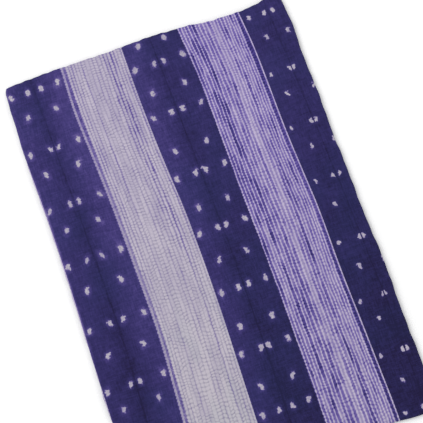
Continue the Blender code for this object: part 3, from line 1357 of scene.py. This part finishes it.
@dataclass(frozen=True)
class TiedDots:
    """The pale dots that tying leaves in the panels.

    Lengths are in millimetres, and bumps of noise are counted to a millimetre.
    A distance in half widths is 1 at the outline of a dot without noise.

    Args:
        half_width: Half width of a dot.
        half_height: Half height of a dot.
        waist: Share of its width that a dot has at its middle height.
        waist_ends: Heights from there between which it widens to the full width.
        panels_apart: How far apart the panels lie in the noise.
        second_apart: How far the noise for places along lies from that for places across.
        across_bumps: Bumps of the noise that shifts places across.
        along_bumps: Bumps of the noise that shifts places along.
        shift: How far either of them shifts a place.
        own: Noise that differs between the two sides of the crease.
        own_across: How far it shifts a place across.
        own_along: How far it shifts a place along.
        slant_bumps: Bumps of the noise that leans the dots over.
        slant: How far they lean, for each millimetre of height.
        ragged_bumps: Bumps of the noise that makes their outlines ragged.
        ragged: How far it moves an outline, in half widths.
        outline: Distances in half widths at which a dot ends and at which it is fully pale.
        crease_gap: Distances from the crease between which dots begin.
        stain_outline: Distances in half widths at which a dot's stain ends and at which it is full.
        stain: How much dye the stain takes away.
        thread: Noise of the threads inside a dot.
        thread_dye: Depth of dye of those threads.
        thread_change: How much it changes from thread to thread.
        clear_share: Share of a dot's paleness that comes through.
        clear_bumps: Bumps of the noise that changes this share.
        clear_change: How much the share changes.
    """

    half_width: float = 2.7
    half_height: float = 3.8
    waist: float = 0.84
    waist_ends: Pair = (0.2, 1.9)
    panels_apart: float = 40.0
    second_apart: float = 17.0
    across_bumps: float = 0.22
    along_bumps: float = 0.18
    shift: float = 2.4
    own: Unevenness = Unevenness(0.45, place=3.0)
    own_across: float = 1.2
    own_along: float = 0.8
    slant_bumps: float = 0.030
    slant: float = 0.9
    ragged_bumps: float = 0.50
    ragged: float = 0.42
    outline: Pair = (1.22, 0.70)
    crease_gap: Pair = (0.3, 1.1)
    stain_outline: Pair = (2.7, 0.9)
    stain: float = 0.13
    thread: Unevenness = Unevenness(0.62, place=8.0)
    thread_dye: float = 0.07
    thread_change: float = 0.30
    clear_share: float = 0.93
    clear_bumps: float = 0.035
    clear_change: float = 0.25

    def depth(self, pen: NodePen, chart: PatternChart, ground: object) -> bpy.types.NodeSocket:
        """Depth of dye in the panels: the ground with its pale dots.

        Each place's distance to the nearest charted dot is measured with its
        place shifted by noise, which gives every dot its own ragged outline. Both
        sides of the crease read the same noise, as the cloth was tied folded, and
        a weaker one of their own.

        Args:
            pen: Writes the nodes.
            chart: The pattern.
            ground: Depth of dye of the ground.

        Returns:
            The depth's socket.
        """
        four, two, row = pen.attribute("dot_place")
        size, halo, number = pen.attribute("dot_look")
        across, along, _ = pen.attribute("cloth_place")
        mirrored = pen.point(four, row, pen.times(number, self.panels_apart))
        second = pen.point(row, four, pen.plus_part(self.second_apart, number, self.panels_apart))
        own = pen.uneven(self.own, across, along)
        both_across = pen.times(pen.noise(mirrored, self.across_bumps), self.shift)
        both_along = pen.times(pen.noise(second, self.along_bumps), self.shift)
        shift_across = pen.plus_part(both_across, own, self.own_across)
        shift_along = pen.plus_part(both_along, own, self.own_along)
        slant = pen.times(pen.noise(second, self.slant_bumps), self.slant)
        spacing = chart.row_spacing
        half_gap = (chart.outer_place - chart.inner_place) / 2
        from_inner = pen.math("WRAP", pen.less(four, chart.inner_place), half_gap, -half_gap)
        from_four = pen.math("WRAP", row, spacing, -spacing)
        from_middle = pen.less(two, chart.middle_place)
        from_two = pen.math("WRAP", pen.less(row, spacing), spacing, -spacing)
        width = pen.times(size, self.half_width)
        height = pen.times(size, self.half_height)
        distances = []
        for away, down in ((from_inner, from_four), (from_middle, from_two)):
            low = pen.add(down, shift_along)
            waist = pen.blend(self.waist, 1.0, pen.step(pen.math("ABSOLUTE", low), *self.waist_ends))
            leaning = pen.plus_part(pen.add(away, shift_across), low, slant)
            x = pen.math("DIVIDE", leaning, pen.times(width, waist))
            y = pen.math("DIVIDE", low, height)
            distances.append(pen.math("SQRT", pen.add(pen.times(x, x), pen.times(y, y))))
        nearest = pen.math("MINIMUM", *distances)
        ragged = pen.plus_part(nearest, pen.noise(mirrored, self.ragged_bumps), self.ragged)
        beside_crease = pen.step(crease_distance(pen, chart), *self.crease_gap)
        core = pen.times(pen.step(ragged, *self.outline), beside_crease)
        stain = pen.times(pen.step(nearest, *self.stain_outline), halo)
        stained = pen.plus_part(ground, stain, -self.stain)
        thread = pen.plus_part(self.thread_dye, pen.uneven(self.thread, across, along), self.thread_change)
        clear = pen.plus_part(self.clear_share, pen.noise(second, self.clear_bumps), self.clear_change)
        return pen.blend(stained, thread, pen.times(core, clear))


@dataclass(frozen=True)
class BandLook:
    """What the stitched bands show at a place, as node sockets.

    Args:
        depth: Depth of dye.
        pleat: Height of the fine pleats.
        bead: The stitches' wave along the columns, from -1 to 1.
        tick: Mask between stitches, from 0 to 1, for the dye there and for the painted shade of the stitch
            holes.
    """

    depth: bpy.types.NodeSocket
    pleat: bpy.types.NodeSocket
    bead: bpy.types.NodeSocket
    tick: bpy.types.NodeSocket


@dataclass(frozen=True)
class StitchedBands:
    """The bands of stitched rows, counted from the border with the separate thin column.

    Lengths are in millimetres. Where a value differs between the kinds of band,
    it is a pair, first for a pale band and then for a violet one.

    Args:
        bands_apart: How far apart the bands lie in the noise.
        bead_pitch: Distance from stitch to stitch along a column, at the middle.
        bead_growth: How much faster the stitches are counted for each millimetre along.
        halves: Shares of the way to the near end between which the far chart gives way.
        drift: Slow bends of all columns.
        wander: Quick bends of all columns.
        change: Slow change of a line's darkness along it.
        dashes: Quick change of a line's darkness along it.
        least_line: Darkness that every line has.
        darkest_line: Darkness that no line goes past.
        bead_wave: Shift of the stitches that columns have in common.
        bead_phase: Shift of the stitches that each column has for itself.
        loose: How far that shift goes, in stitches.
        tick_rise: Values of the stitches' wave between which the mask between stitches rises.
        firmness: How firmly a column's stitches were drawn.
        firm_rise: Values of that noise between which the stitches begin to show.
        narrowing: How much narrower a line is where a stitch holds it, in pitches.
        line_width: Half width of a line without dye, in pitches.
        dye_width: How much wider the darkness makes it.
        outer_softness: How far past its half width a line fades out.
        inner_softness: How far inside its half width it is full.
        pale_columns: Dye of a pale band's columns at the far and at the near end.
        violet_columns: Dye of a violet band's columns.
        tone: Different dye from column to column.
        cloud: Clouds that go over all bands.
        wash: Clouds of each band.
        specks: Small specks.
        tick_dye: Dye between stitches.
        tick_specks: How much the specks change it.
        tick_lines: How much a dark line beside it adds.
        line_dye: Dye of a line at full darkness.
        thin_column: Width of the thin column.
        thin_softness: How far its edge fades.
        thin_dye: Its dye.
        thin_tick: How much more dye it has between stitches.
        thin_blotch: How much the specks and bends change it.
        edge_bend: How far the stitches and bends move the gap's edges.
        gap_softness: How far the gap's far edge fades.
        widest_gap: Width of the gap beside the thin column where its charted share is 1.
        usual_gap: Width of that gap at which the lines stand where they are charted.
        gap_bead: How much the stitches change the gap's dye.
        gap_blocks: How much its blocks of darker and paler dye differ.
        bead_height: Height of a stitch's bump.
        pleat_depth: Depth of a dark line's valley.
        deepest: Depth of dye that nothing goes past.
    """

    bands_apart: float = 13.0
    bead_pitch: float = 3.8
    bead_growth: float = 0.0002
    halves: Pair = (0.22, 0.52)
    drift: Unevenness = Unevenness(1.0, 0.10, 0.020)
    wander: Unevenness = Unevenness(1.0, 0.20, 0.10, strength=0.70)
    change: Unevenness = Unevenness(1.0, 3.1, 0.034, layers=3.0)
    dashes: Unevenness = Unevenness(1.0, 5.3, 0.12, strength=0.35)
    least_line: float = 0.03
    darkest_line: float = 1.25
    bead_wave: Unevenness = Unevenness(1.0, 0.10, 0.04)
    bead_phase: Unevenness = Unevenness(1.0, 1.9, 0.03)
    loose: Pair = (1.2, 1.5)
    tick_rise: Pair = (0.05, -0.85)
    firmness: Unevenness = Unevenness(1.0, 0.9, 0.09)
    firm_rise: Pair = (-0.6, 0.6)
    narrowing: Pair = (0.09, 0.07)
    line_width: Pair = (0.14, 0.20)
    dye_width: float = 0.16
    outer_softness: float = 0.10
    inner_softness: float = 0.12
    pale_columns: Pair = (0.06, 0.01)
    violet_columns: float = 0.04
    tone: Unevenness = Unevenness(1.0, 2.3, 0.02, strength=0.09)
    cloud: Unevenness = Unevenness(1.0, 0.045, 0.012, layers=2.0, place=2.0, strength=0.09)
    wash: Unevenness = Unevenness(1.0, 0.11, 0.016, layers=2.0, strength=0.09)
    specks: Unevenness = Unevenness(1.0, 1.3, 0.45)
    tick_dye: Pair = (0.06, 0.11)
    tick_specks: float = 0.20
    tick_lines: float = 0.08
    line_dye: Pair = (0.58, 0.52)
    thin_column: Pair = (2.6, 1.5)
    thin_softness: float = 0.4
    thin_dye: Pair = (0.18, 0.04)
    thin_tick: Pair = (0.08, 0.28)
    thin_blotch: Pair = (0.15, 0.16)
    edge_bend: float = 0.32
    gap_softness: float = 0.5
    widest_gap: float = 5.0
    usual_gap: float = 3.2
    gap_bead: Pair = (-0.12, -0.45)
    gap_blocks: float = 0.18
    bead_height: float = 0.03
    pleat_depth: float = 0.10
    deepest: float = 0.85

    def charted_darkness(self, pen: NodePen, number: object, kind: object, near: object) -> object:
        """Charted darkness of the line with this number.

        Args:
            pen: Writes the nodes.
            number: Number of the line.
            kind: 0 in a pale band, 1 in a violet one.
            near: Share of the way to the near end.

        Returns:
            The darkness's socket.
        """
        last = STITCH_LINES[-1].number
        place = pen.math("DIVIDE", number, float(last), clamp=True)
        read = {}
        for column in ("pale_far", "pale_near", "violet_far", "violet_near"):
            points = [(line.number / last, getattr(line, column).value) for line in STITCH_LINES]
            read[column] = pen.curve(place, points)
        half = pen.step(near, *self.halves)
        pale = pen.blend(read["pale_far"], read["pale_near"], half)
        violet = pen.blend(read["violet_far"], read["violet_near"], half)
        return pen.blend(pale, violet, kind)

    @staticmethod
    def line_number(pen: NodePen, chart: PatternChart, border: object, kind: object) -> object:
        """Number of the line at a place, counted in parts between lines.

        The lines beyond the first and the last one are as far off as the pitch
        at that side. A curve gives values from 0 to 1 only, so the numbers are
        moved up by a few spare lines and scaled for it, and then moved back.

        Args:
            pen: Writes the nodes.
            chart: The pattern.
            border: Place from the border with the thin column, in millimetres.
            kind: 0 in a pale band, 1 in a violet one.

        Returns:
            The number's socket.
        """
        place = pen.math("DIVIDE", border, chart.band_width, clamp=True)
        spare = 2.0
        run = STITCH_LINES[-1].number + 2 * spare
        numbers = [float(line.number) for line in STITCH_LINES]
        read = {}
        for band, spacing in ((Band.PALE, PALE_SPACING), (Band.VIOLET, VIOLET_SPACING)):
            places = [spacing.place(line.number) for line in STITCH_LINES]
            before = numbers[0] - places[0] / (places[1] - places[0])
            after = numbers[-1] + (chart.band_width - places[-1]) / (places[-1] - places[-2])
            pairs = zip([0.0, *places, chart.band_width], [before, *numbers, after])
            points = [(at / chart.band_width, (number + spare) / run) for at, number in pairs]
            read[band] = pen.curve(place, points)
        share = pen.blend(read[Band.PALE], read[Band.VIOLET], kind)
        return pen.less(pen.times(share, run), spare)

    def border_gap(self, pen: NodePen, along: object, kind: object) -> tuple[object, object]:
        """Width and depth of dye of the gap beside the separate thin column.

        Args:
            pen: Writes the nodes.
            along: Place along the opened cloth, in millimetres.
            kind: 0 in a pale band, 1 in a violet one.

        Returns:
            The width's socket, in millimetres, and the depth's socket.
        """
        first = BORDER_GAPS[0].along
        run = BORDER_GAPS[-1].along - first
        place = pen.math("DIVIDE", pen.less(along, first), run, clamp=True)
        read = {}
        for column in ("pale_width", "pale_depth", "violet_width", "violet_depth"):
            points = [((row.along - first) / run, getattr(row, column)) for row in BORDER_GAPS]
            read[column] = pen.curve(place, points)
        width = pen.times(pen.blend(read["pale_width"], read["violet_width"], kind), self.widest_gap)
        return width, pen.blend(read["pale_depth"], read["violet_depth"], kind)

    def look(self, pen: NodePen, chart: PatternChart) -> BandLook:
        """Dye and fine pleats of the stitched bands.

        Dark dye stands between the columns, narrower where a stitch holds them.
        Each line's darkness comes from the chart and from noise that changes
        slowly along it.

        Args:
            pen: Writes the nodes.
            chart: The pattern.

        Returns:
            What the bands show.
        """
        across, along, near = pen.attribute("cloth_place")
        charted, kind, _ = pen.attribute("chart_place")
        local = pen.math("WRAP", charted, chart.repeat, 0.0)
        inside = pen.less(local, chart.panel_width)
        border = pen.blend(inside, pen.less(chart.band_width, inside), kind)
        past_panel = pen.less(charted, chart.panel_width / 2)
        band_number = pen.math("FLOOR", pen.math("DIVIDE", past_panel, chart.repeat))
        own = pen.times(band_number, self.bands_apart)

        drift = pen.uneven(self.drift, border, along, own)
        wander = pen.uneven(self.wander, border, along, own)
        gap_width, gap_depth = self.border_gap(pen, along, kind)
        wider = pen.less(gap_width, self.usual_gap)
        pushed = pen.times(wider, pen.step(border, chart.band_width, 0.0))
        drifted = pen.plus_part(border, drift, self.drift.strength)
        shifted = pen.less(pen.plus_part(drifted, wander, self.wander.strength), pushed)
        counted = self.line_number(pen, chart, shifted, kind)
        column_number = pen.math("FLOOR", counted)
        line = pen.math("ROUND", counted)
        from_line = pen.math("ABSOLUTE", pen.less(counted, line))

        change = pen.uneven(self.change, line, along, own)
        dash = pen.uneven(self.dashes, line, along, own)
        changed = pen.plus_part(1.0, change, self.change.strength)
        changed = pen.plus_part(changed, dash, self.dashes.strength)
        darkness = pen.plus_part(self.least_line, self.charted_darkness(pen, line, kind, near), changed)
        darkness = pen.math("MINIMUM", pen.math("MAXIMUM", darkness, 0.0), self.darkest_line)

        growth = pen.plus_part(1.0, along, self.bead_growth)
        stitches = pen.times(pen.math("DIVIDE", along, self.bead_pitch), growth)
        wave = pen.uneven(self.bead_wave, border, along, own)
        phase = pen.uneven(self.bead_phase, column_number, along, own)
        shift = pen.plus_part(wave, phase, pen.blend(*self.loose, kind))
        bead = pen.math("COSINE", pen.times(pen.add(stitches, shift), 2 * math.pi))
        firmness = pen.uneven(self.firmness, column_number, along, own)
        firm = pen.step(firmness, *self.firm_rise)
        tick = pen.times(pen.step(bead, *self.tick_rise), firm)

        narrowing = pen.times(pen.times(bead, firm), pen.blend(*self.narrowing, kind))
        plain_width = pen.plus_part(pen.blend(*self.line_width, kind), darkness, self.dye_width)
        width = pen.less(plain_width, narrowing)
        outer = pen.add(width, self.outer_softness)
        dark = pen.step(from_line, outer, pen.less(width, self.inner_softness))

        tone = pen.uneven(self.tone, column_number, along, own)
        cloud = pen.uneven(self.cloud, across, along)
        wash = pen.uneven(self.wash, border, along, own)
        speck = pen.uneven(self.specks, counted, along, own)
        column = pen.blend(pen.blend(*self.pale_columns, near), self.violet_columns, kind)
        column = pen.plus_part(column, tone, self.tone.strength)
        column = pen.plus_part(column, cloud, self.cloud.strength)
        column = pen.plus_part(column, wash, self.wash.strength)
        tick_dye = pen.plus_part(pen.blend(*self.tick_dye, kind), speck, self.tick_specks)
        tick_dye = pen.plus_part(tick_dye, darkness, self.tick_lines)
        column = pen.plus_part(column, tick, tick_dye)
        dyed = pen.plus_part(column, darkness, pen.blend(*self.line_dye, kind))
        depth = pen.blend(column, dyed, dark)

        thin = pen.blend(*self.thin_column, kind)
        edge = pen.plus_part(border, pen.add(bead, wander), self.edge_bend)
        past_thin = pen.step(edge, pen.less(thin, self.thin_softness), pen.add(thin, self.thin_softness))
        beaded = pen.plus_part(pen.blend(*self.thin_dye, kind), tick, pen.blend(*self.thin_tick, kind))
        blotch = pen.times(pen.add(speck, wander), pen.blend(*self.thin_blotch, kind))
        depth = pen.blend(pen.add(beaded, blotch), depth, past_thin)

        gap_end = pen.add(thin, gap_width)
        gap_outer = pen.add(gap_end, self.gap_softness)
        before_end = pen.step(edge, gap_outer, pen.less(gap_end, self.gap_softness))
        gap = pen.times(past_thin, before_end)
        blocks = pen.plus_part(pen.add(speck, dash), bead, pen.blend(*self.gap_bead, kind))
        depth = pen.blend(depth, pen.plus_part(gap_depth, blocks, self.gap_blocks), gap)

        valley = pen.times(pen.math("MAXIMUM", dark, gap), self.pleat_depth)
        pleat = pen.less(pen.times(bead, self.bead_height), valley)
        return BandLook(pen.math("MINIMUM", depth, self.deepest), pleat, bead, tick)


# Colours on the finish's own scale: blue dye in the dark ground, and three tints that are
# multiplied in, for bled dye, for painted shade in the stitch holes and for cool patches
BLUE_DYE = (0.016, 0.030, 0.105, 1.0)
BLED_TINT = (0.99, 0.95, 1.11, 1.0)
STITCH_HOLE_SHADE = (0.82, 0.83, 0.84, 1.0)
COOL_TINT = (0.94, 0.97, 0.96, 1.0)


@dataclass(frozen=True)
class DyedCotton:
    """Plain-weave cotton with tied dots and stitched rows left pale by the dye.

    Lengths are in millimetres.

    Args:
        ground: The dark ground of the panels.
        dots: The tied dots.
        bands: The stitched bands.
        roughness: Roughness of the cotton.
        sheen: Strength of the soft sheen of its fibres.
        gloss: Strength of its plain gloss.
        light: How bright the studio light makes a white surface.
        thread_pitch: Distance from thread to thread.
        weave_height: Height of the weave's waves.
        slub: Thicker and thinner stretches of the lengthwise threads.
        border_bead: How far a stitch moves a band's border.
        border_softness: How far that border fades, in a pale and in a violet band.
        fold_paling: How much dye is taken away along the paler line of the left fold.
        blue_patches: Broad patches of bluer ground.
        blue_rise: Values of that noise between which they begin.
        blue_depths: Depths of dye between which the ground turns bluer.
        blue_share: How far it turns to the blue dye.
        bleed: Share of bled dye at a pale band's far end, beside that of a violet band.
        cool_patches: Cool patches of the pale band.
        cool_rise: Values of that noise between which they begin.
        cool_length: Shares of the way to the near end between which they begin.
    """

    ground: DyedGround = DyedGround()
    dots: TiedDots = TiedDots()
    bands: StitchedBands = StitchedBands()
    roughness: float = 0.88
    sheen: float = 0.02
    gloss: float = 0.10
    light: float = 1.36
    thread_pitch: float = 0.5
    weave_height: float = 0.010
    slub: Unevenness = Unevenness(1.2, along=0.06, place=21.0, strength=0.020)
    border_bead: float = 0.3
    border_softness: Pair = (0.9, 0.4)
    fold_paling: float = 0.55
    blue_patches: Unevenness = Unevenness(0.020, layers=2.0, place=30.0)
    blue_rise: Pair = (-0.3, 0.5)
    blue_depths: Pair = (0.60, 0.76)
    blue_share: float = 0.16
    bleed: float = 0.60
    cool_patches: Unevenness = Unevenness(0.070, along=0.30, layers=2.0, place=36.0)
    cool_rise: Pair = (-0.15, 0.25)
    cool_length: Pair = (0.40, 0.80)

    def woven(self, pen: NodePen) -> bpy.types.NodeSocket:
        """Height of the weave: crossed waves of warp and weft with uneven threads."""
        across, along, _ = pen.attribute("cloth_place")
        turn = 2 * math.pi / self.thread_pitch
        warp = pen.math("COSINE", pen.times(across, turn))
        weft = pen.math("COSINE", pen.times(along, turn))
        slub = pen.uneven(self.slub, across, along)
        return pen.plus_part(pen.times(pen.add(warp, weft), self.weave_height), slub, self.slub.strength)

    def coloured(self, pen: NodePen, depth: object, tick: object, in_band: object) -> object:
        """Colour of the cloth at a depth of dye.

        Args:
            pen: Writes the nodes.
            depth: Depth of dye.
            tick: Mask between stitches, by which painted shade of the stitch holes is multiplied into the
                pale bands.
            in_band: 0 in a panel, 1 in a band.

        Returns:
            The colour's socket.
        """
        _, kind, _ = pen.attribute("chart_place")
        across, along, near = pen.attribute("cloth_place")
        stops = []
        for stop in DYE_STOPS:
            stops.append((stop.depth, picture_colour(stop.red, stop.green, stop.blue, self.light)))
        colour = pen.ramp(depth, tuple(stops))
        patch = pen.step(pen.uneven(self.blue_patches, across, along), *self.blue_rise)
        blue = pen.times(patch, pen.step(depth, *self.blue_depths))
        cooled = pen.tint(colour, BLUE_DYE, pen.times(blue, self.blue_share))
        bled = pen.plus_part(kind, pen.less(1.0, near), self.bleed)
        stained = pen.tint(cooled, BLED_TINT, pen.times(bled, in_band), "MULTIPLY")
        pale = pen.times(pen.less(1.0, kind), in_band)
        # Painted shade: the stitch holes of the pale bands are made greyer and darker
        shaded = pen.tint(stained, STITCH_HOLE_SHADE, pen.times(tick, pale), "MULTIPLY")
        pale_near = pen.times(pale, pen.step(near, *self.cool_length))
        cool = pen.step(pen.uneven(self.cool_patches, across, along), *self.cool_rise)
        return pen.tint(shaded, COOL_TINT, pen.times(cool, pale_near), "MULTIPLY")

    def material(self, chart: PatternChart) -> bpy.types.Material:
        """Make the cotton's material.

        Args:
            chart: The pattern.

        Returns:
            The material.
        """
        material = bpy.data.materials.new("dyed_cotton")
        material.use_nodes = True
        tree = material.node_tree
        shader = tree.nodes["Principled BSDF"]
        pen = NodePen(tree)
        _, kind, _ = pen.attribute("chart_place")
        panel = self.dots.depth(pen, chart, self.ground.depth(pen, chart))
        band = self.bands.look(pen, chart)
        half = chart.panel_width / 2
        from_crease = pen.plus_part(crease_distance(pen, chart), band.bead, self.border_bead)
        softness = pen.blend(*self.border_softness, kind)
        in_band = pen.step(from_crease, pen.less(half, softness), pen.add(half, softness))
        depth = pen.blend(panel, band.depth, in_band)
        # The line along the left fold is made paler
        depth = pen.plus_part(depth, pen.single("fold_pale_line"), -self.fold_paling)
        pen.feed(shader.inputs["Base Color"], self.coloured(pen, depth, band.tick, in_band))
        shader.inputs["Roughness"].default_value = self.roughness
        shader.inputs["Sheen Weight"].default_value = self.sheen
        shader.inputs["Specular IOR Level"].default_value = self.gloss
        bump = tree.nodes.new("ShaderNodeBump")
        bump.inputs["Distance"].default_value = 1 / MM
        bump.inputs["Strength"].default_value = 1.0
        pen.feed(bump.inputs["Height"], pen.plus_part(self.woven(pen), band.pleat, in_band))
        tree.links.new(bump.outputs["Normal"], shader.inputs["Normal"])
        return material


@dataclass(frozen=True)
class StudioFloor:
    """Plain pale floor under the cloth.

    Args:
        reach: How far it goes from the middle, in metres.
        cells: Number of cells each way.
        drop: How far it lies under the cloth.
        tone: Its lightness.
    """

    reach: float = 12.0
    cells: int = 12
    drop: float = 0.0002
    tone: float = 0.90

    def build(self) -> bpy.types.Object:
        """Make the floor: a level grid whose height is the same everywhere."""
        line = np.linspace(-self.reach, self.reach, self.cells + 1)
        x, y = np.meshgrid(line, line, indexing="ij")
        points = np.stack([x, y, np.full_like(x, -self.drop)], -1).reshape(-1, 3)
        count = self.cells + 1
        row, column = np.meshgrid(np.arange(self.cells), np.arange(self.cells), indexing="ij")
        first = row * count + column
        faces = np.stack([first, first + count, first + count + 1, first + 1], -1).reshape(-1, 4)
        mesh = bpy.data.meshes.new("studio_floor")
        mesh.from_pydata(points.tolist(), [], faces.tolist())
        floor = bpy.data.objects.new("studio_floor", mesh)
        bpy.context.collection.objects.link(floor)
        material = bpy.data.materials.new("floor_paper")
        material.use_nodes = True
        shader = material.node_tree.nodes["Principled BSDF"]
        shader.inputs["Base Color"].default_value = (self.tone, self.tone, self.tone, 1.0)
        shader.inputs["Roughness"].default_value = 1.0
        shader.inputs["Specular IOR Level"].default_value = 0.0
        mesh.materials.append(material)
        return floor


@dataclass(frozen=True)
class SoftLight:
    """One soft studio light.

    Args:
        name: Its name.
        place: Where it stands.
        size: Its width and height, in metres.
        power: Its power, in watts.
    """

    name: str
    place: tuple
    size: float
    power: float

    def build(self) -> None:
        """Make the light and aim it at the cloth."""
        data = bpy.data.lights.new(self.name, "AREA")
        data.size = self.size
        data.energy = self.power
        light = bpy.data.objects.new(self.name, data)
        place = Vector(self.place)
        light.location = place
        light.rotation_euler = (-place).to_track_quat("-Z", "Y").to_euler()
        bpy.context.collection.objects.link(light)


@dataclass(frozen=True)
class OverheadCamera:
    """Camera above the cloth, as far off and as much turned as for the picture.

    Args:
        target: Point of the cloth at the picture's middle.
        distance: Distance to it.
        tilt: Lean from straight down, in degrees.
        roll: Turn of the picture about the line of sight, in degrees.
        focal_pixels: Focal length in pixels of the picture.
        sensor: Width of the sensor, in millimetres.
    """

    target: tuple = (0.0097, 0.0349, 0.0080)
    distance: float = 1.026
    tilt: float = 8.0
    roll: float = 19.65
    focal_pixels: float = 900.0
    sensor: float = 36.0

    def build(self) -> None:
        """Make the camera and set it as the scene's own.

        The line of sight leans forward by the tilt, and the picture's right and
        down directions are turned about it by the roll.
        """
        tilt = math.radians(self.tilt)
        roll = math.radians(self.roll)
        sight = Vector((0.0, math.sin(tilt), -math.cos(tilt)))
        level = Vector((1.0, 0.0, 0.0))
        lower = sight.cross(level)
        right = math.cos(roll) * level + math.sin(roll) * lower
        down = -math.sin(roll) * level + math.cos(roll) * lower
        place = Vector(self.target) - sight * self.distance
        matrix = Matrix((right, -down, -sight)).transposed().to_4x4()
        matrix.translation = place
        data = bpy.data.cameras.new("overhead_camera")
        data.sensor_width = self.sensor
        data.lens = self.sensor * self.focal_pixels / PICTURE
        camera = bpy.data.objects.new("overhead_camera", data)
        camera.matrix_world = matrix
        bpy.context.collection.objects.link(camera)
        bpy.context.scene.camera = camera


@dataclass(frozen=True)
class Studio:
    """Floor, lights and camera.

    Args:
        sky: Brightness of the even light from all around.
        lights: The soft lights.
    """

    sky: float = 0.75
    lights: tuple = (
        SoftLight("key_light", (-1.1, 1.1, 2.2), 1.6, 34.0),
        SoftLight("fill_light", (1.4, -0.9, 2.0), 1.8, 10.0),
    )

    def build(self) -> None:
        """Make the studio around the cloth."""
        world = bpy.data.worlds.new("studio_air")
        world.use_nodes = True
        world.node_tree.nodes["Background"].inputs["Color"].default_value = (1.0, 1.0, 1.0, 1.0)
        world.node_tree.nodes["Background"].inputs["Strength"].default_value = self.sky
        bpy.context.scene.world = world
        bpy.context.scene.view_settings.view_transform = "Standard"
        for light in self.lights:
            light.build()
        StudioFloor().build()
        OverheadCamera().build()
        LOG.info("studio: %d lights and a plain floor", len(self.lights))


def main() -> None:
    """Build the studio and the cloth, and tie the cloth to the frame."""
    logging.basicConfig(level=logging.INFO)
    Studio().build()
    chart = PatternChart()
    sheet = FoldedSheet()
    cloth = sheet.build(chart, Relief())
    cloth.data.materials.append(DyedCotton().material(chart))
    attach(cloth, "root")
    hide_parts("folded_cloth")
    sheet.flat_size()
    LOG.info("%s: %d faces", cloth.name, len(cloth.data.polygons))


if __name__ == "__main__":
    main()
